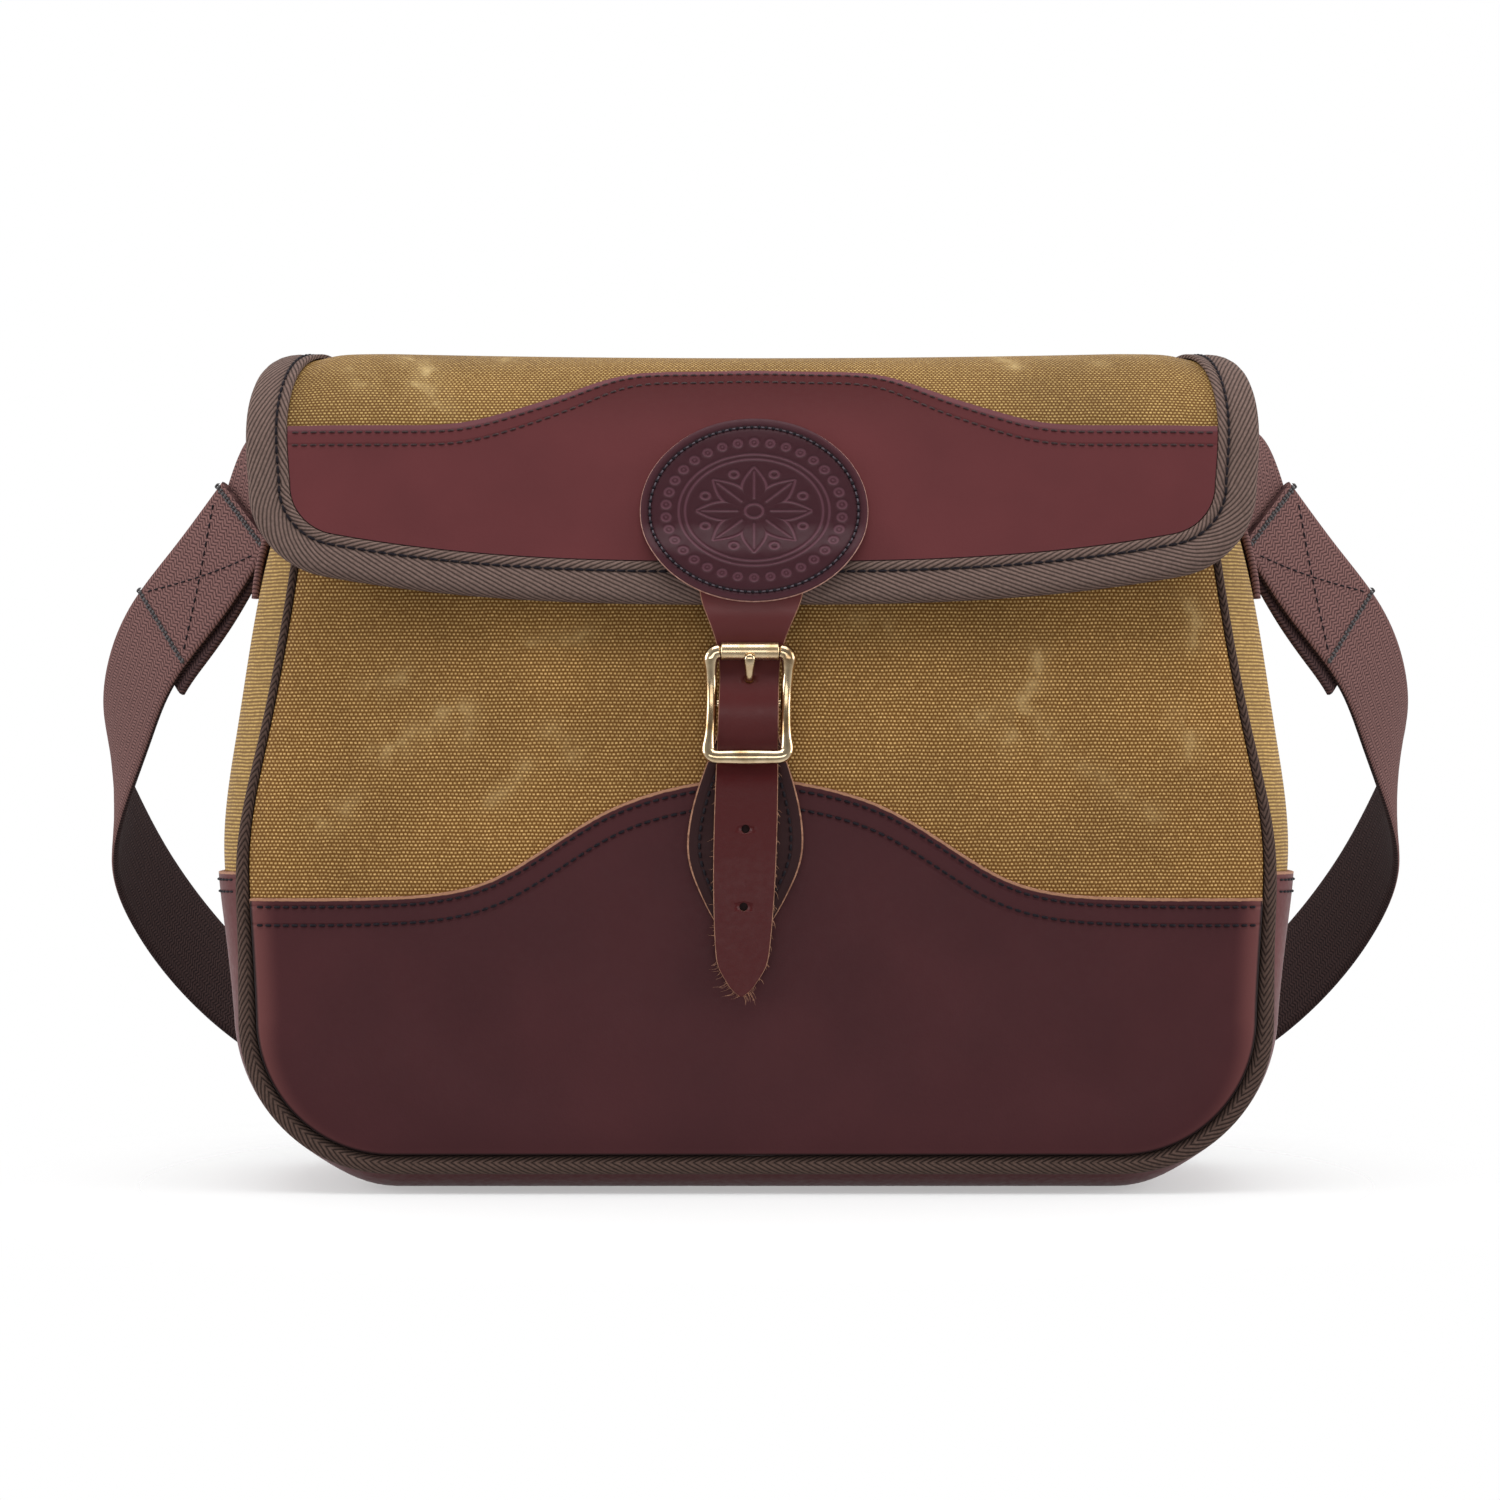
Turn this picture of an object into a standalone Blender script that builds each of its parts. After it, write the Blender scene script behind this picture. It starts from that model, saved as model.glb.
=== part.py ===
"""A waxed canvas satchel with leather trim, standing on its bottom.

Sizes are millimetres, and new_object turns them into Blender's metres. The origin is the middle of
the flat bottom, +X is the wearer's side to side, the front faces -Y and +Z is up. Heights in the tables
and constants are measured from DRAWING_FOOT below the bottom, and new_object takes that off as well.
Cloth and leather are walls: each is a grid of points on its outer face and one on its inner face.
"""

import bpy
import bmesh
import numpy as np

MM = 0.001
DRAWING_FOOT = 3.2

# Driving dimensions of the bag's body
SEAM_BOTTOM = 12.5
SEAM_TOP = 242.0
CORNER_RADIUS = 46.5
CORNER_X = 115.5
CORNER_Z = SEAM_BOTTOM + CORNER_RADIUS
HALF_DEPTH_BOTTOM = 52.0
HALF_DEPTH_SLOPE = -19.0 / 232.5
FRONT_TOP = 240.0

# Cloth and leather
CANVAS = 1.6
LEATHER = 1.8
YOKE_LEATHER = 1.2
WEBBING = 2.6
WEBBING_WIDTH = 38.1
GAP = 0.3
FLAP_LAYER_GAP = 0.45
LAP = 12.0

# Seam piping, thinner up the sides: height, radius. Cut edges stay a little clear of it.
PIPING_RADIUS = ((12.5, 3.0), (50.0, 3.0), (65.0, 2.85), (80.0, 2.5), (97.0, 2.25), (122.0, 1.85),
                 (141.0, 1.55), (160.0, 1.4), (200.0, 1.3), (245.0, 1.3))
PIPING_CLEARANCE = 0.4
ROLL_DEPTH = 3.5
ROLL_LENGTH = 6.0
PILLOW_POWER = 2.4
GUSSET_FLAT_SHARE = 0.5
GUSSET_ARCH_POWER = 2.2

# Flap: the back canvas runs up, over a round fold and down the front
FOLD_RADIUS = 43.0
FOLD_Y = -4.9
FOLD_Z = 232.0
FOLD_START = 3.6
FOLD_END = 168.6
BACK_FOOT_Y = HALF_DEPTH_BOTTOM + ROLL_DEPTH
FLAP_LOWER_Y = -57.2
FLAP_LOWER_Z = 190.2
FLAP_CORNER_RADIUS = 28.2
FLAP_CORNER_X = 130.4
FLAP_CORNER_LINE = 359.0
FLAP_CORNER_SWEEP = 80.0
FLAP_FRONT_LINE = 340.0
FLAP_LAST_LINE = 395.9
FLAP_EDGE_POWER = 2.8
FLAP_SHIFT = -1.2
BACK_FULLNESS = 4.0
FOLD_SAG = 2.2
FOLD_SAG_LENGTH = 45.0
FOLD_SAG_HALF_WIDTH = 150.0
# How far the flap's edges droop at the fold: distance from the middle, drop
FOLD_DROOP = ((118.0, 0.0), (130.0, 0.4), (137.0, 1.2), (143.0, 2.7), (150.0, 3.4), (158.0, 5.3),
              (166.0, 6.4))
YOKE_FRONT_RISE = 8.0
BINDING_WIDTH = 11.4

# Oval patch on the flap, and how far its lower edge is raised over the strap
PATCH_X = 0.5
PATCH_LINE = 368.3
PATCH_HALF_WIDTH = 36.2
PATCH_HALF_HEIGHT = 30.3
PATCH_LIFT = 3.1
PATCH_LIFT_FROM = 372.0
PATCH_LIFT_TO = 384.0

# Closure: the strap, its buckle and the leather that holds the buckle
STRAP_THICKNESS = 2.0
STRAP_LEAN = 0.025
CLOSURE_X = -2.0
ROLLER_Z = 175.4
ROLLER_Y = -60.9
ROLLER_RADIUS = 2.84
ROLLER_BORE = 1.5
ROLLER_LENGTH = 18.4
CENTRE_BAR_Z = 159.0
CENTRE_BAR_Y = -56.2
CENTRE_BAR_RADIUS = 1.5
CENTRE_BAR_LENGTH = 23.6
BOTTOM_BAR_Z = 142.0
BOTTOM_BAR_Y = -62.6
FRAME_HALF_WIDTH = 12.4
FRAME_WAIST = 0.65
FRAME_WAIST_Y = -59.2
FRAME_TOP_CORNER = 2.5
FRAME_FOOT_CORNER = 3.2
TONGUE_RING_RADIUS = 3.3
TONGUE_RING_LENGTH = 3.6
TONGUE_HOLE = (-59.5, 166.3)
TONGUE_HOLE_RUN = (0.0, -0.79, 0.61)
TONGUE_HOLE_RADIUS = 1.7
KEEPER_SLOT_RADIUS = 4.6
KEEPER_SLOT_LENGTH = 5.0
STRAP_HOLES = ((-62.0, 119.3), (-62.0, 94.8))
STRAP_HOLE_RADIUS = 1.35
CUTTER_LENGTH = 12.0

# Right half of the front and back seam above the round corner: height, half width
SEAM_SIDE = ((59.0, 162.0), (85.0, 163.1), (112.0, 163.9), (149.0, 157.6), (189.0, 150.4), (245.0, 143.0))
# How far the front panel's middle stands out: height, depth
FRONT_PILLOW = ((12.5, 0.0), (30.0, 2.0), (70.0, 6.3), (110.0, 9.0), (160.0, 8.1), (190.0, 6.5),
                (245.0, 2.0))
# How far the gusset stands out of the seam: height, depth
GUSSET_BULGE = ((12.5, 7.2), (13.4, 6.5), (16.0, 4.9), (22.0, 4.0), (42.0, 4.3), (60.0, 4.9), (80.0, 6.3),
                (105.0, 8.2), (150.0, 11.2), (200.0, 11.5), (214.0, 10.0), (230.0, 7.5), (245.0, 5.0))
# Waved top edge of the front leather: distance from its middle, height
LEATHER_WAVE = ((0.0, 135.2), (20.0, 133.0), (47.0, 124.3), (65.0, 113.3), (83.0, 103.0), (100.0, 98.6),
                (118.0, 97.3), (165.0, 96.8))
WAVE_MIDDLE_X = -2.2
BACK_LEATHER_TOP = 97.0
BOOT_TOP = 105.0
# Flap canvas: length along the profile from the foot of the back, half width
FLAP_SIDE = ((231.0, 140.5), (250.0, 143.6), (287.0, 152.7), (321.0, 159.0), (340.0, 160.0), (359.0, 158.6))
# Top edge of the flap's leather: distance from the middle, height on the front half of the fold
YOKE_WAVE = ((0.0, 266.4), (20.0, 266.0), (44.0, 263.9), (60.0, 257.9), (76.0, 252.4), (92.0, 248.3),
             (110.0, 247.3), (165.0, 247.3))
# Section of the flap's edge binding: distance in from the canvas edge, distance out of its face
BINDING_SECTION = ((BINDING_WIDTH, 0.5), (BINDING_WIDTH, 2.1), (0.0, 2.1), (-1.8, 0.9), (-1.8, -2.5),
                   (0.0, -3.7), (BINDING_WIDTH, -3.7), (BINDING_WIDTH, -2.1), (-0.5, -2.1), (-0.5, 0.5))
# Closure strap: height, half width
STRAP_OUTLINE = ((200.5, 17.0), (192.0, 16.1), (184.0, 13.0), (177.0, 10.6), (171.0, 9.7), (160.0, 9.5),
                 (89.0, 9.2), (81.3, 8.6), (75.1, 7.2), (71.1, 4.8), (68.3, 2.6), (66.6, 0.4))
# Closure strap, where its back face lies: height, y
STRAP_BACK = ((200.5, -57.7), (192.0, -59.4), (187.0, -59.4), (181.0, -57.4), (175.4, -55.7), (170.0, -56.6),
              (159.0, -60.2), (150.0, -59.2), (142.0, -57.7), (136.0, -59.1), (130.0, -59.8), (110.0, -61.3),
              (90.0, -61.8), (66.6, -61.8))
# Buckle leather, its middle layer from the cut end behind the bar's loop down to its point:
# y, height, half width
KEEPER_TAIL = ((-54.2, 148.5, 9.3), (-53.6, 156.0, 9.3))
KEEPER_LEAF = ((-58.8, 156.5, 9.3), (-57.2, 150.0, 9.6), (-56.0, 144.0, 11.4), (-56.8, 139.5, 12.9),
               (-57.7, 135.8, 14.2), (-58.3, 130.0, 16.0), (-59.3, 120.0, 18.0), (-59.9, 110.0, 17.9),
               (-60.3, 100.0, 14.4), (-60.4, 90.0, 9.0), (-60.4, 82.0, 3.6), (-60.4, 77.8, 0.6))
# Buckle tongue from the centre bar's ring to its tip on the roller: y, height, half width, half thickness
TONGUE_PATH = ((-57.0, 161.2, 1.0, 0.7), (-57.3, 164.0, 1.0, 0.7), (-58.6, 165.5, 1.0, 0.7),
               (-60.5, 167.1, 1.1, 0.7), (-62.7, 169.7, 1.4, 0.8), (-64.5, 172.6, 1.8, 0.8),
               (-64.9, 174.4, 1.8, 0.7))
# Left half of the shoulder strap, middle of its outer face from its sewn end to the middle of the loop:
# x, y, z, turn of the cross line about Z, dip of its front edge
SHOULDER_ROUTE = ((-173.0, 34.0, 224.6, 37.8, 36.2), (-190.6, 43.9, 201.3, 41.7, 40.7),
                  (-207.8, 55.4, 180.7, 40.9, 43.1), (-219.2, 74.0, 159.3, 38.8, 44.5),
                  (-226.8, 97.9, 137.7, 21.4, 48.8), (-228.2, 124.0, 116.2, -7.0, 49.5),
                  (-221.8, 150.0, 93.0, -18.0, 48.0), (-207.5, 173.7, 68.2, -17.6, 47.7),
                  (-186.0, 193.1, 45.2, -11.0, 46.2), (-146.7, 209.9, 23.8, -4.2, 41.6),
                  (-99.3, 216.1, 15.5, -1.8, 38.0), (-49.5, 216.8, 14.6, -0.8, 35.6),
                  (0.0, 216.7, 14.3, 0.0, 35.4))
# Left webbing tab, middle of its layer from its sewn root on the gusset, over its fold, to the
# strap's underside, with the same five values
TAB_ROUTE = ((-162.9, 0.5, 196.0, -1.0, 8.0), (-162.1, 0.9, 204.0, -1.0, 9.0),
             (-160.2, 2.2, 214.0, -1.0, 11.0), (-157.6, 4.8, 226.0, 0.0, 16.0),
             (-156.4, 9.0, 236.0, 3.0, 22.0), (-159.2, 15.5, 242.4, 8.0, 28.0),
             (-164.4, 23.3, 241.4, 16.0, 34.0), (-167.8, 30.2, 234.2, 27.0, 37.0))
TAB_END = 64.0
# How far the tab's free end lies past the strap's front edge, and the length over which it gets there
TAB_SHIFT = 3.6
TAB_SHIFT_LENGTH = 50.0
# Length between the stations where the strap's route is read
STATION = 9.0
# sRGB colour, roughness and metallic value of each material
FINISHES = {
    "waxed_canvas": ("8B6A40", 0.75, 0.0),
    "bridle_leather": ("4E2C2D", 0.45, 0.0),
    "patch_leather": ("482F33", 0.3, 0.0),
    "twill_tape": ("66584F", 0.9, 0.0),
    "cotton_webbing": ("6F5551", 0.9, 0.0),
    "polished_brass": ("D8C08A", 0.18, 1.0),
}


def clear_scene():
    for item in list(bpy.data.objects):
        bpy.data.objects.remove(item, do_unlink=True)


def linear(hex_colour):
    """Turn an sRGB hex colour into linear values."""
    shares = np.array([int(hex_colour[at:at + 2], 16) for at in (0, 2, 4)]) / 255
    return np.where(shares <= 0.04045, shares / 12.92, ((shares + 0.055) / 1.055) ** 2.4)


def finish(name):
    """Return the named Principled material, made the first time it is asked for."""
    material = bpy.data.materials.get(name)
    if material is None:
        colour, roughness, metallic = FINISHES[name]
        material = bpy.data.materials.new(name)
        material.use_nodes = True
        shader = material.node_tree.nodes["Principled BSDF"]
        shader.inputs["Base Color"].default_value = (*linear(colour), 1.0)
        shader.inputs["Roughness"].default_value = roughness
        shader.inputs["Metallic"].default_value = metallic
    return material


def new_object(name, points, faces, material):
    """Make one object from points in millimetres, with its faces turned outward."""
    mesh = bpy.data.meshes.new(name)
    mesh.from_pydata(((np.asarray(points) - (0, 0, DRAWING_FOOT)) * MM).tolist(), [], faces)
    body = bmesh.new()
    body.from_mesh(mesh)
    bmesh.ops.recalc_face_normals(body, faces=body.faces)
    body.to_mesh(mesh)
    body.free()
    mesh.shade_smooth()
    mesh.set_sharp_from_angle(angle=np.radians(40))
    made = bpy.data.objects.new(name, mesh)
    bpy.context.scene.collection.objects.link(made)
    mesh.materials.append(finish(material))
    return made


def cells(index):
    """Split every cell of a grid of point numbers along the same diagonal, so that layers stay parallel."""
    corner, below, opposite, beside = index[:-1, :-1], index[1:, :-1], index[1:, 1:], index[:-1, 1:]
    halves = [np.stack([corner, below, opposite], axis=-1), np.stack([corner, opposite, beside], axis=-1)]
    return np.concatenate([half.reshape(-1, 3) for half in halves])


def add_wall(name, outer, inner, material):
    """Close an outer and an inner grid of points into one solid with four edges."""
    rows, columns = outer.shape[:2]
    front = np.arange(rows * columns).reshape(rows, columns)
    back = front + rows * columns
    rim = np.concatenate([front[0, :-1], front[:-1, -1], front[-1, :0:-1], front[:0:-1, 0]])
    rim = np.append(rim, rim[0])
    edge = cells(np.stack([rim, rim + rows * columns]))
    faces = np.concatenate([cells(front), cells(back)[:, ::-1], edge])
    points = np.concatenate([outer.reshape(-1, 3), inner.reshape(-1, 3)])
    return new_object(name, points, faces.tolist(), material)


def add_sweep(name, rings, material):
    """Join a row of closed rings of points into one solid with a flat face at each end."""
    count, around = rings.shape[:2]
    index = np.arange(count * around).reshape(count, around)
    skin = cells(np.concatenate([index, index[:, :1]], axis=1)).tolist()
    ends = [index[0].tolist(), index[-1, ::-1].tolist()]
    return new_object(name, rings.reshape(-1, 3), skin + ends, material)


def add_loop(name, rings, material):
    """Join a closed row of closed rings into a solid like a link."""
    count, around = rings.shape[:2]
    index = np.arange(count * around).reshape(count, around)
    index = np.concatenate([index, index[:1]])
    skin = cells(np.concatenate([index, index[:, :1]], axis=1))
    return new_object(name, rings.reshape(-1, 3), skin.tolist(), material)


def combine(kept, tool, operation):
    """Join a tool to a piece, or cut it out of the piece, with an exact Boolean."""
    change = kept.modifiers.new(operation.lower(), "BOOLEAN")
    change.object = tool
    change.operation = operation
    tool.hide_render = True
    tool.display_type = "WIRE"


def add_cylinder(name, middle, axis, radius, length, sides, material):
    """Make a round bar from its middle point and the direction of its axis."""
    axis = np.asarray(axis, float) / np.linalg.norm(axis)
    side = np.cross(axis, (0.0, 0.0, 1.0) if abs(axis[2]) < 0.9 else (1.0, 0.0, 0.0))
    side = side / np.linalg.norm(side)
    turn = np.linspace(0, 2 * np.pi, sides, endpoint=False)[:, None]
    ring = radius * (np.cos(turn) * side + np.sin(turn) * np.cross(axis, side))
    ends = np.array([-0.5, 0.5])[:, None, None] * length * axis
    return add_sweep(name, np.asarray(middle) + ends + ring, material)


def spline(knots, values, where):
    """Natural cubic curve through a table's rows: its second slopes solve one linear system."""
    knots = np.asarray(knots, float)
    values = np.asarray(values, float).reshape(len(knots), -1)
    where = np.asarray(where, float)
    step = np.diff(knots)
    rise = np.diff(values, axis=0) / step[:, None]
    system = np.eye(len(knots))
    bend = np.zeros_like(values)
    for row in range(1, len(knots) - 1):
        system[row, row - 1:row + 2] = (step[row - 1], 2 * (step[row - 1] + step[row]), step[row])
        bend[row] = 6 * (rise[row] - rise[row - 1])
    bend = np.linalg.solve(system, bend)
    cell = np.clip(np.searchsorted(knots, where, side="right") - 1, 0, len(step) - 1)
    after = (where - knots[cell])[..., None]
    length = step[cell][..., None]
    start, end = bend[cell], bend[cell + 1]
    slope = rise[cell] - length * (2 * start + end) / 6
    curve = values[cell] + after * (slope + after * (start / 2 + after * (end - start) / (6 * length)))
    return curve[..., 0] if values.shape[1] == 1 else curve


def read_table(table, where):
    """Smooth value of a two-column table, held at its last value outside it."""
    table = np.array(table)
    table = table[np.argsort(table[:, 0])]
    return spline(table[:, 0], table[:, 1], np.clip(where, table[0, 0], table[-1, 0]))


def read_even_table(table, where):
    """Smooth value of a table of one half, mirrored so that its middle is level."""
    table = np.array(table)
    mirrored = np.concatenate([table[:0:-1] * (-1, 1), table])
    return spline(mirrored[:, 0], mirrored[:, 1], np.clip(where, mirrored[0, 0], mirrored[-1, 0]))


def both_ways(table):
    """Make an edge-to-edge row of shares from the shares of one half."""
    half = np.array(table)
    return np.concatenate([-half[:0:-1], half])


# Columns across a panel, closer together where the panel rolls into its seam
PANEL_COLUMNS = both_ways((0.0, 0.17, 0.34, 0.5, 0.65, 0.78, 0.88, 0.94, 0.975, 1.0))
FLAP_COLUMNS = both_ways((0.0, 0.25, 0.5, 0.72, 0.86, 0.94, 1.0))
YOKE_COLUMNS = both_ways((0.0, 0.15, 0.26, 0.33, 0.4, 0.47, 0.55, 0.66, 0.83, 1.0))
# Rows up the round corners of a panel
CORNER_ROWS = 1 - np.cos(np.radians(np.linspace(0, 90, 7)))


def seam_depth(z):
    """Half depth of the bag at the seams: a straight taper."""
    return HALF_DEPTH_BOTTOM + HALF_DEPTH_SLOPE * (z - SEAM_BOTTOM)


def piping_radius(z):
    """Radius of the piping by height."""
    return read_table(PIPING_RADIUS, z)


def seam_inset(z):
    """How far the cut edges beside a seam stay from the middle of its piping."""
    return piping_radius(z) + PIPING_CLEARANCE


def seam_width(z, inset=0.0):
    """Half width inside the seam: an arc round each bottom corner, then the side's curve."""
    radius = CORNER_RADIUS - inset
    drop = np.clip(CORNER_Z - z, 0, radius)
    corner = CORNER_X + np.sqrt(radius ** 2 - drop ** 2)
    return np.where(z < CORNER_Z, corner, read_table(SEAM_SIDE, z) - inset)


def seam_distance(x, z):
    """Distance in from the seam, measured from the corner's centre where the seam is round."""
    straight = np.minimum(seam_width(z) - np.abs(x), z - SEAM_BOTTOM)
    corner = CORNER_RADIUS - np.hypot(np.abs(x) - CORNER_X, CORNER_Z - z)
    distance = np.where((np.abs(x) > CORNER_X) & (z < CORNER_Z), corner, straight)
    return np.clip(distance, 0, None)


def crown(x, z):
    """Share of a panel's fullness: one at mid width, falling to nothing at the seams."""
    return 1 - np.clip(np.abs(x) / seam_width(z), 0, 1) ** PILLOW_POWER


def front_at(x, z, out):
    """Point of the front panel: the seam's depth, its roll away from the seam, and the pillow."""
    roll = ROLL_DEPTH * (1 - np.exp(-seam_distance(x, z) / ROLL_LENGTH))
    depth = seam_depth(z) + roll + read_table(FRONT_PILLOW, z) * crown(x, z) + out
    return np.stack([x, -depth, z], axis=-1)


def profile_at(line):
    """Profile of the back and flap by length from the back's foot: a line, a round fold, a line."""
    start = np.radians(FOLD_START)
    end = np.radians(FOLD_END)
    top = np.array([FOLD_Y + FOLD_RADIUS * np.cos(start), FOLD_Z + FOLD_RADIUS * np.sin(start)])
    foot = np.array([BACK_FOOT_Y, SEAM_BOTTOM])
    back_length = np.linalg.norm(top - foot)
    fold_length = FOLD_RADIUS * (end - start)
    angle = start + np.clip(line - back_length, 0, fold_length) / FOLD_RADIUS
    out_y = np.cos(angle)
    out_z = np.sin(angle)
    below_back = np.clip(back_length - line, 0, None)
    past_fold = np.clip(line - back_length - fold_length, 0, None)
    back_run = (foot - top) / back_length
    front_end = np.array([FOLD_Y + FOLD_RADIUS * np.cos(end), FOLD_Z + FOLD_RADIUS * np.sin(end)])
    front_run = np.array([FLAP_LOWER_Y, FLAP_LOWER_Z]) - front_end
    front_run = front_run / np.linalg.norm(front_run)
    y = FOLD_Y + FOLD_RADIUS * out_y + below_back * back_run[0] + past_fold * front_run[0]
    z = FOLD_Z + FOLD_RADIUS * out_z + below_back * back_run[1] + past_fold * front_run[1]
    return y, z, out_y, out_z


def smooth_step(low, high, value):
    share = np.clip((value - low) / (high - low), 0, 1)
    return share * share * (3 - 2 * share)


BACK_LENGTH = np.hypot(FOLD_Z + FOLD_RADIUS * np.sin(np.radians(FOLD_START)) - SEAM_BOTTOM,
                       FOLD_Y + FOLD_RADIUS * np.cos(np.radians(FOLD_START)) - BACK_FOOT_Y)
FOLD_MIDDLE_LINE = BACK_LENGTH + FOLD_RADIUS * np.radians(90 - FOLD_START)
SEAM_END_LINE = BACK_LENGTH + 7.0
BINDING_START_LINE = BACK_LENGTH + 18.0


def flap_at(x, line, out):
    """Point of the back or flap by distance across and length along the profile.

    Below the fold the edges roll in to the seam and the middle is full. At the fold the middle sags
    and the edges droop. The front hangs a little to one side.
    """
    y, z, out_y, out_z = profile_at(line)
    seamed = 1 - smooth_step(SEAM_END_LINE, BINDING_START_LINE, line)
    reach = np.minimum(z, SEAM_TOP)
    roll = (y - seam_depth(z)) * np.exp(-seam_distance(x, reach) / ROLL_LENGTH) * seamed
    fullness = BACK_FULLNESS * np.sin(np.pi * np.clip(line / BACK_LENGTH, 0, 1)) * crown(x, reach)
    at_fold = np.exp(-((line - FOLD_MIDDLE_LINE) / FOLD_SAG_LENGTH) ** 2)
    sag = FOLD_SAG * at_fold * (1 - np.clip(np.abs(x) / FOLD_SAG_HALF_WIDTH, 0, 1) ** 2)
    droop = at_fold * read_table(FOLD_DROOP, np.abs(x))
    lift = fullness - roll - sag - droop + out
    shift = FLAP_SHIFT * smooth_step(BACK_LENGTH, FLAP_FRONT_LINE, line)
    return np.stack([x + shift, y + lift * out_y, z + lift * out_z], axis=-1)


def line_at_front_height(z):
    """Length along the profile of a height on the front half of the fold."""
    angle = np.pi - np.arcsin(np.clip((z - FOLD_Z) / FOLD_RADIUS, 0, 1))
    return BACK_LENGTH + FOLD_RADIUS * (angle - np.radians(FOLD_START))


def flap_half_width(line):
    """Half width of the back's canvas inside its seams, then of the free flap."""
    seam_line = FLAP_SIDE[0][0]
    _, z, _, _ = profile_at(np.minimum(line, seam_line))
    return np.where(line < seam_line, seam_width(z, seam_inset(z)), read_table(FLAP_SIDE, line))


def flap_row(share, inset):
    """Ends of a row of the flap's front: half width and length at its edge, length at its middle."""
    radius = FLAP_CORNER_RADIUS - inset
    straight = FLAP_CORNER_LINE - FLAP_FRONT_LINE
    along = share * (straight + FLAP_CORNER_RADIUS * np.radians(FLAP_CORNER_SWEEP))
    turn = np.clip(along - straight, 0, None) / FLAP_CORNER_RADIUS
    round_width = FLAP_CORNER_X + radius * np.cos(turn)
    side = flap_half_width(FLAP_FRONT_LINE + np.minimum(along, straight)) - inset
    half_width = np.where(along < straight, side, round_width)
    edge_line = FLAP_FRONT_LINE + np.minimum(along, straight) + radius * np.sin(turn)
    middle_line = FLAP_FRONT_LINE + share * (FLAP_LAST_LINE - inset - FLAP_FRONT_LINE)
    return half_width, edge_line, middle_line


def flap_front_grid(columns, shares, inset):
    """Distance across and length along for rows that bend from level to the flap's curved edge."""
    half_width, edge_line, middle_line = (part[:, None] for part in flap_row(shares, inset))
    line = middle_line + (edge_line - middle_line) * np.abs(columns) ** FLAP_EDGE_POWER
    return columns * half_width, line


def seam_half(bottom_count, corner_count, side_heights):
    """Right half of the seam from the middle of the bottom: points across and up."""
    bottom_x = np.linspace(0, CORNER_X, bottom_count)
    turn = np.radians(np.linspace(0, 90, corner_count + 1))[1:]
    side = np.asarray(side_heights, float)
    x = np.concatenate([bottom_x, CORNER_X + CORNER_RADIUS * np.sin(turn), seam_width(side)])
    z = np.concatenate([np.full(bottom_count, SEAM_BOTTOM), CORNER_Z - CORNER_RADIUS * np.cos(turn), side])
    return np.stack([x, z], axis=-1)


def whole_seam(half):
    """Seam from its left top, round the bottom, to its right top."""
    return np.concatenate([half[:0:-1] * (-1, 1), half])


def outward_normals(path):
    """Unit normals in the plane of a path that runs left, down, right and up."""
    along = np.gradient(path, axis=0)
    along = along / np.linalg.norm(along, axis=1, keepdims=True)
    return np.stack([along[:, 1], -along[:, 0]], axis=-1)


GUSSET_COLUMNS = both_ways((0.0, 0.5, 0.72, 0.88, 1.0))


def gusset_at(path, normals, across, out):
    """Point of the gusset: the seam's outline, pushed out most along its flat middle."""
    z = path[:, 1][:, None]
    edge_share = np.clip(np.abs(across) - GUSSET_FLAT_SHARE, 0, None) / (1 - GUSSET_FLAT_SHARE)
    arch = 1 - edge_share ** GUSSET_ARCH_POWER
    lift = read_table(GUSSET_BULGE, z) * arch + out
    x = path[:, 0][:, None] + normals[:, 0][:, None] * lift
    height = z + normals[:, 1][:, None] * lift
    y = across * (seam_depth(z) - seam_inset(z))
    return np.stack([x, y, height], axis=-1)


def add_front_panels():
    """Front canvas, and the waved leather that laps over its lower edge."""
    columns = PANEL_COLUMNS[None, :]
    wave = read_even_table(LEATHER_WAVE, columns * SEAM_SIDE[2][1] - WAVE_MIDDLE_X)
    rise = np.linspace(0, 1, 8)[:, None]
    z = wave - LAP + rise * (FRONT_TOP - wave + LAP)
    x = columns * seam_width(z, seam_inset(z))
    add_wall("front_canvas", front_at(x, z, 0.0), front_at(x, z, -CANVAS), "waxed_canvas")
    inset = seam_inset(SEAM_BOTTOM)
    foot = SEAM_BOTTOM + inset
    corner_share = (CORNER_RADIUS - inset) / (wave.min() - foot)
    shares = np.concatenate([CORNER_ROWS * corner_share, np.linspace(corner_share, 1, 5)[1:]])
    z = foot + shares[:, None] * (wave - foot)
    x = columns * seam_width(z, seam_inset(z))
    add_wall("front_leather", front_at(x, z, GAP + LEATHER), front_at(x, z, GAP), "bridle_leather")


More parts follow.
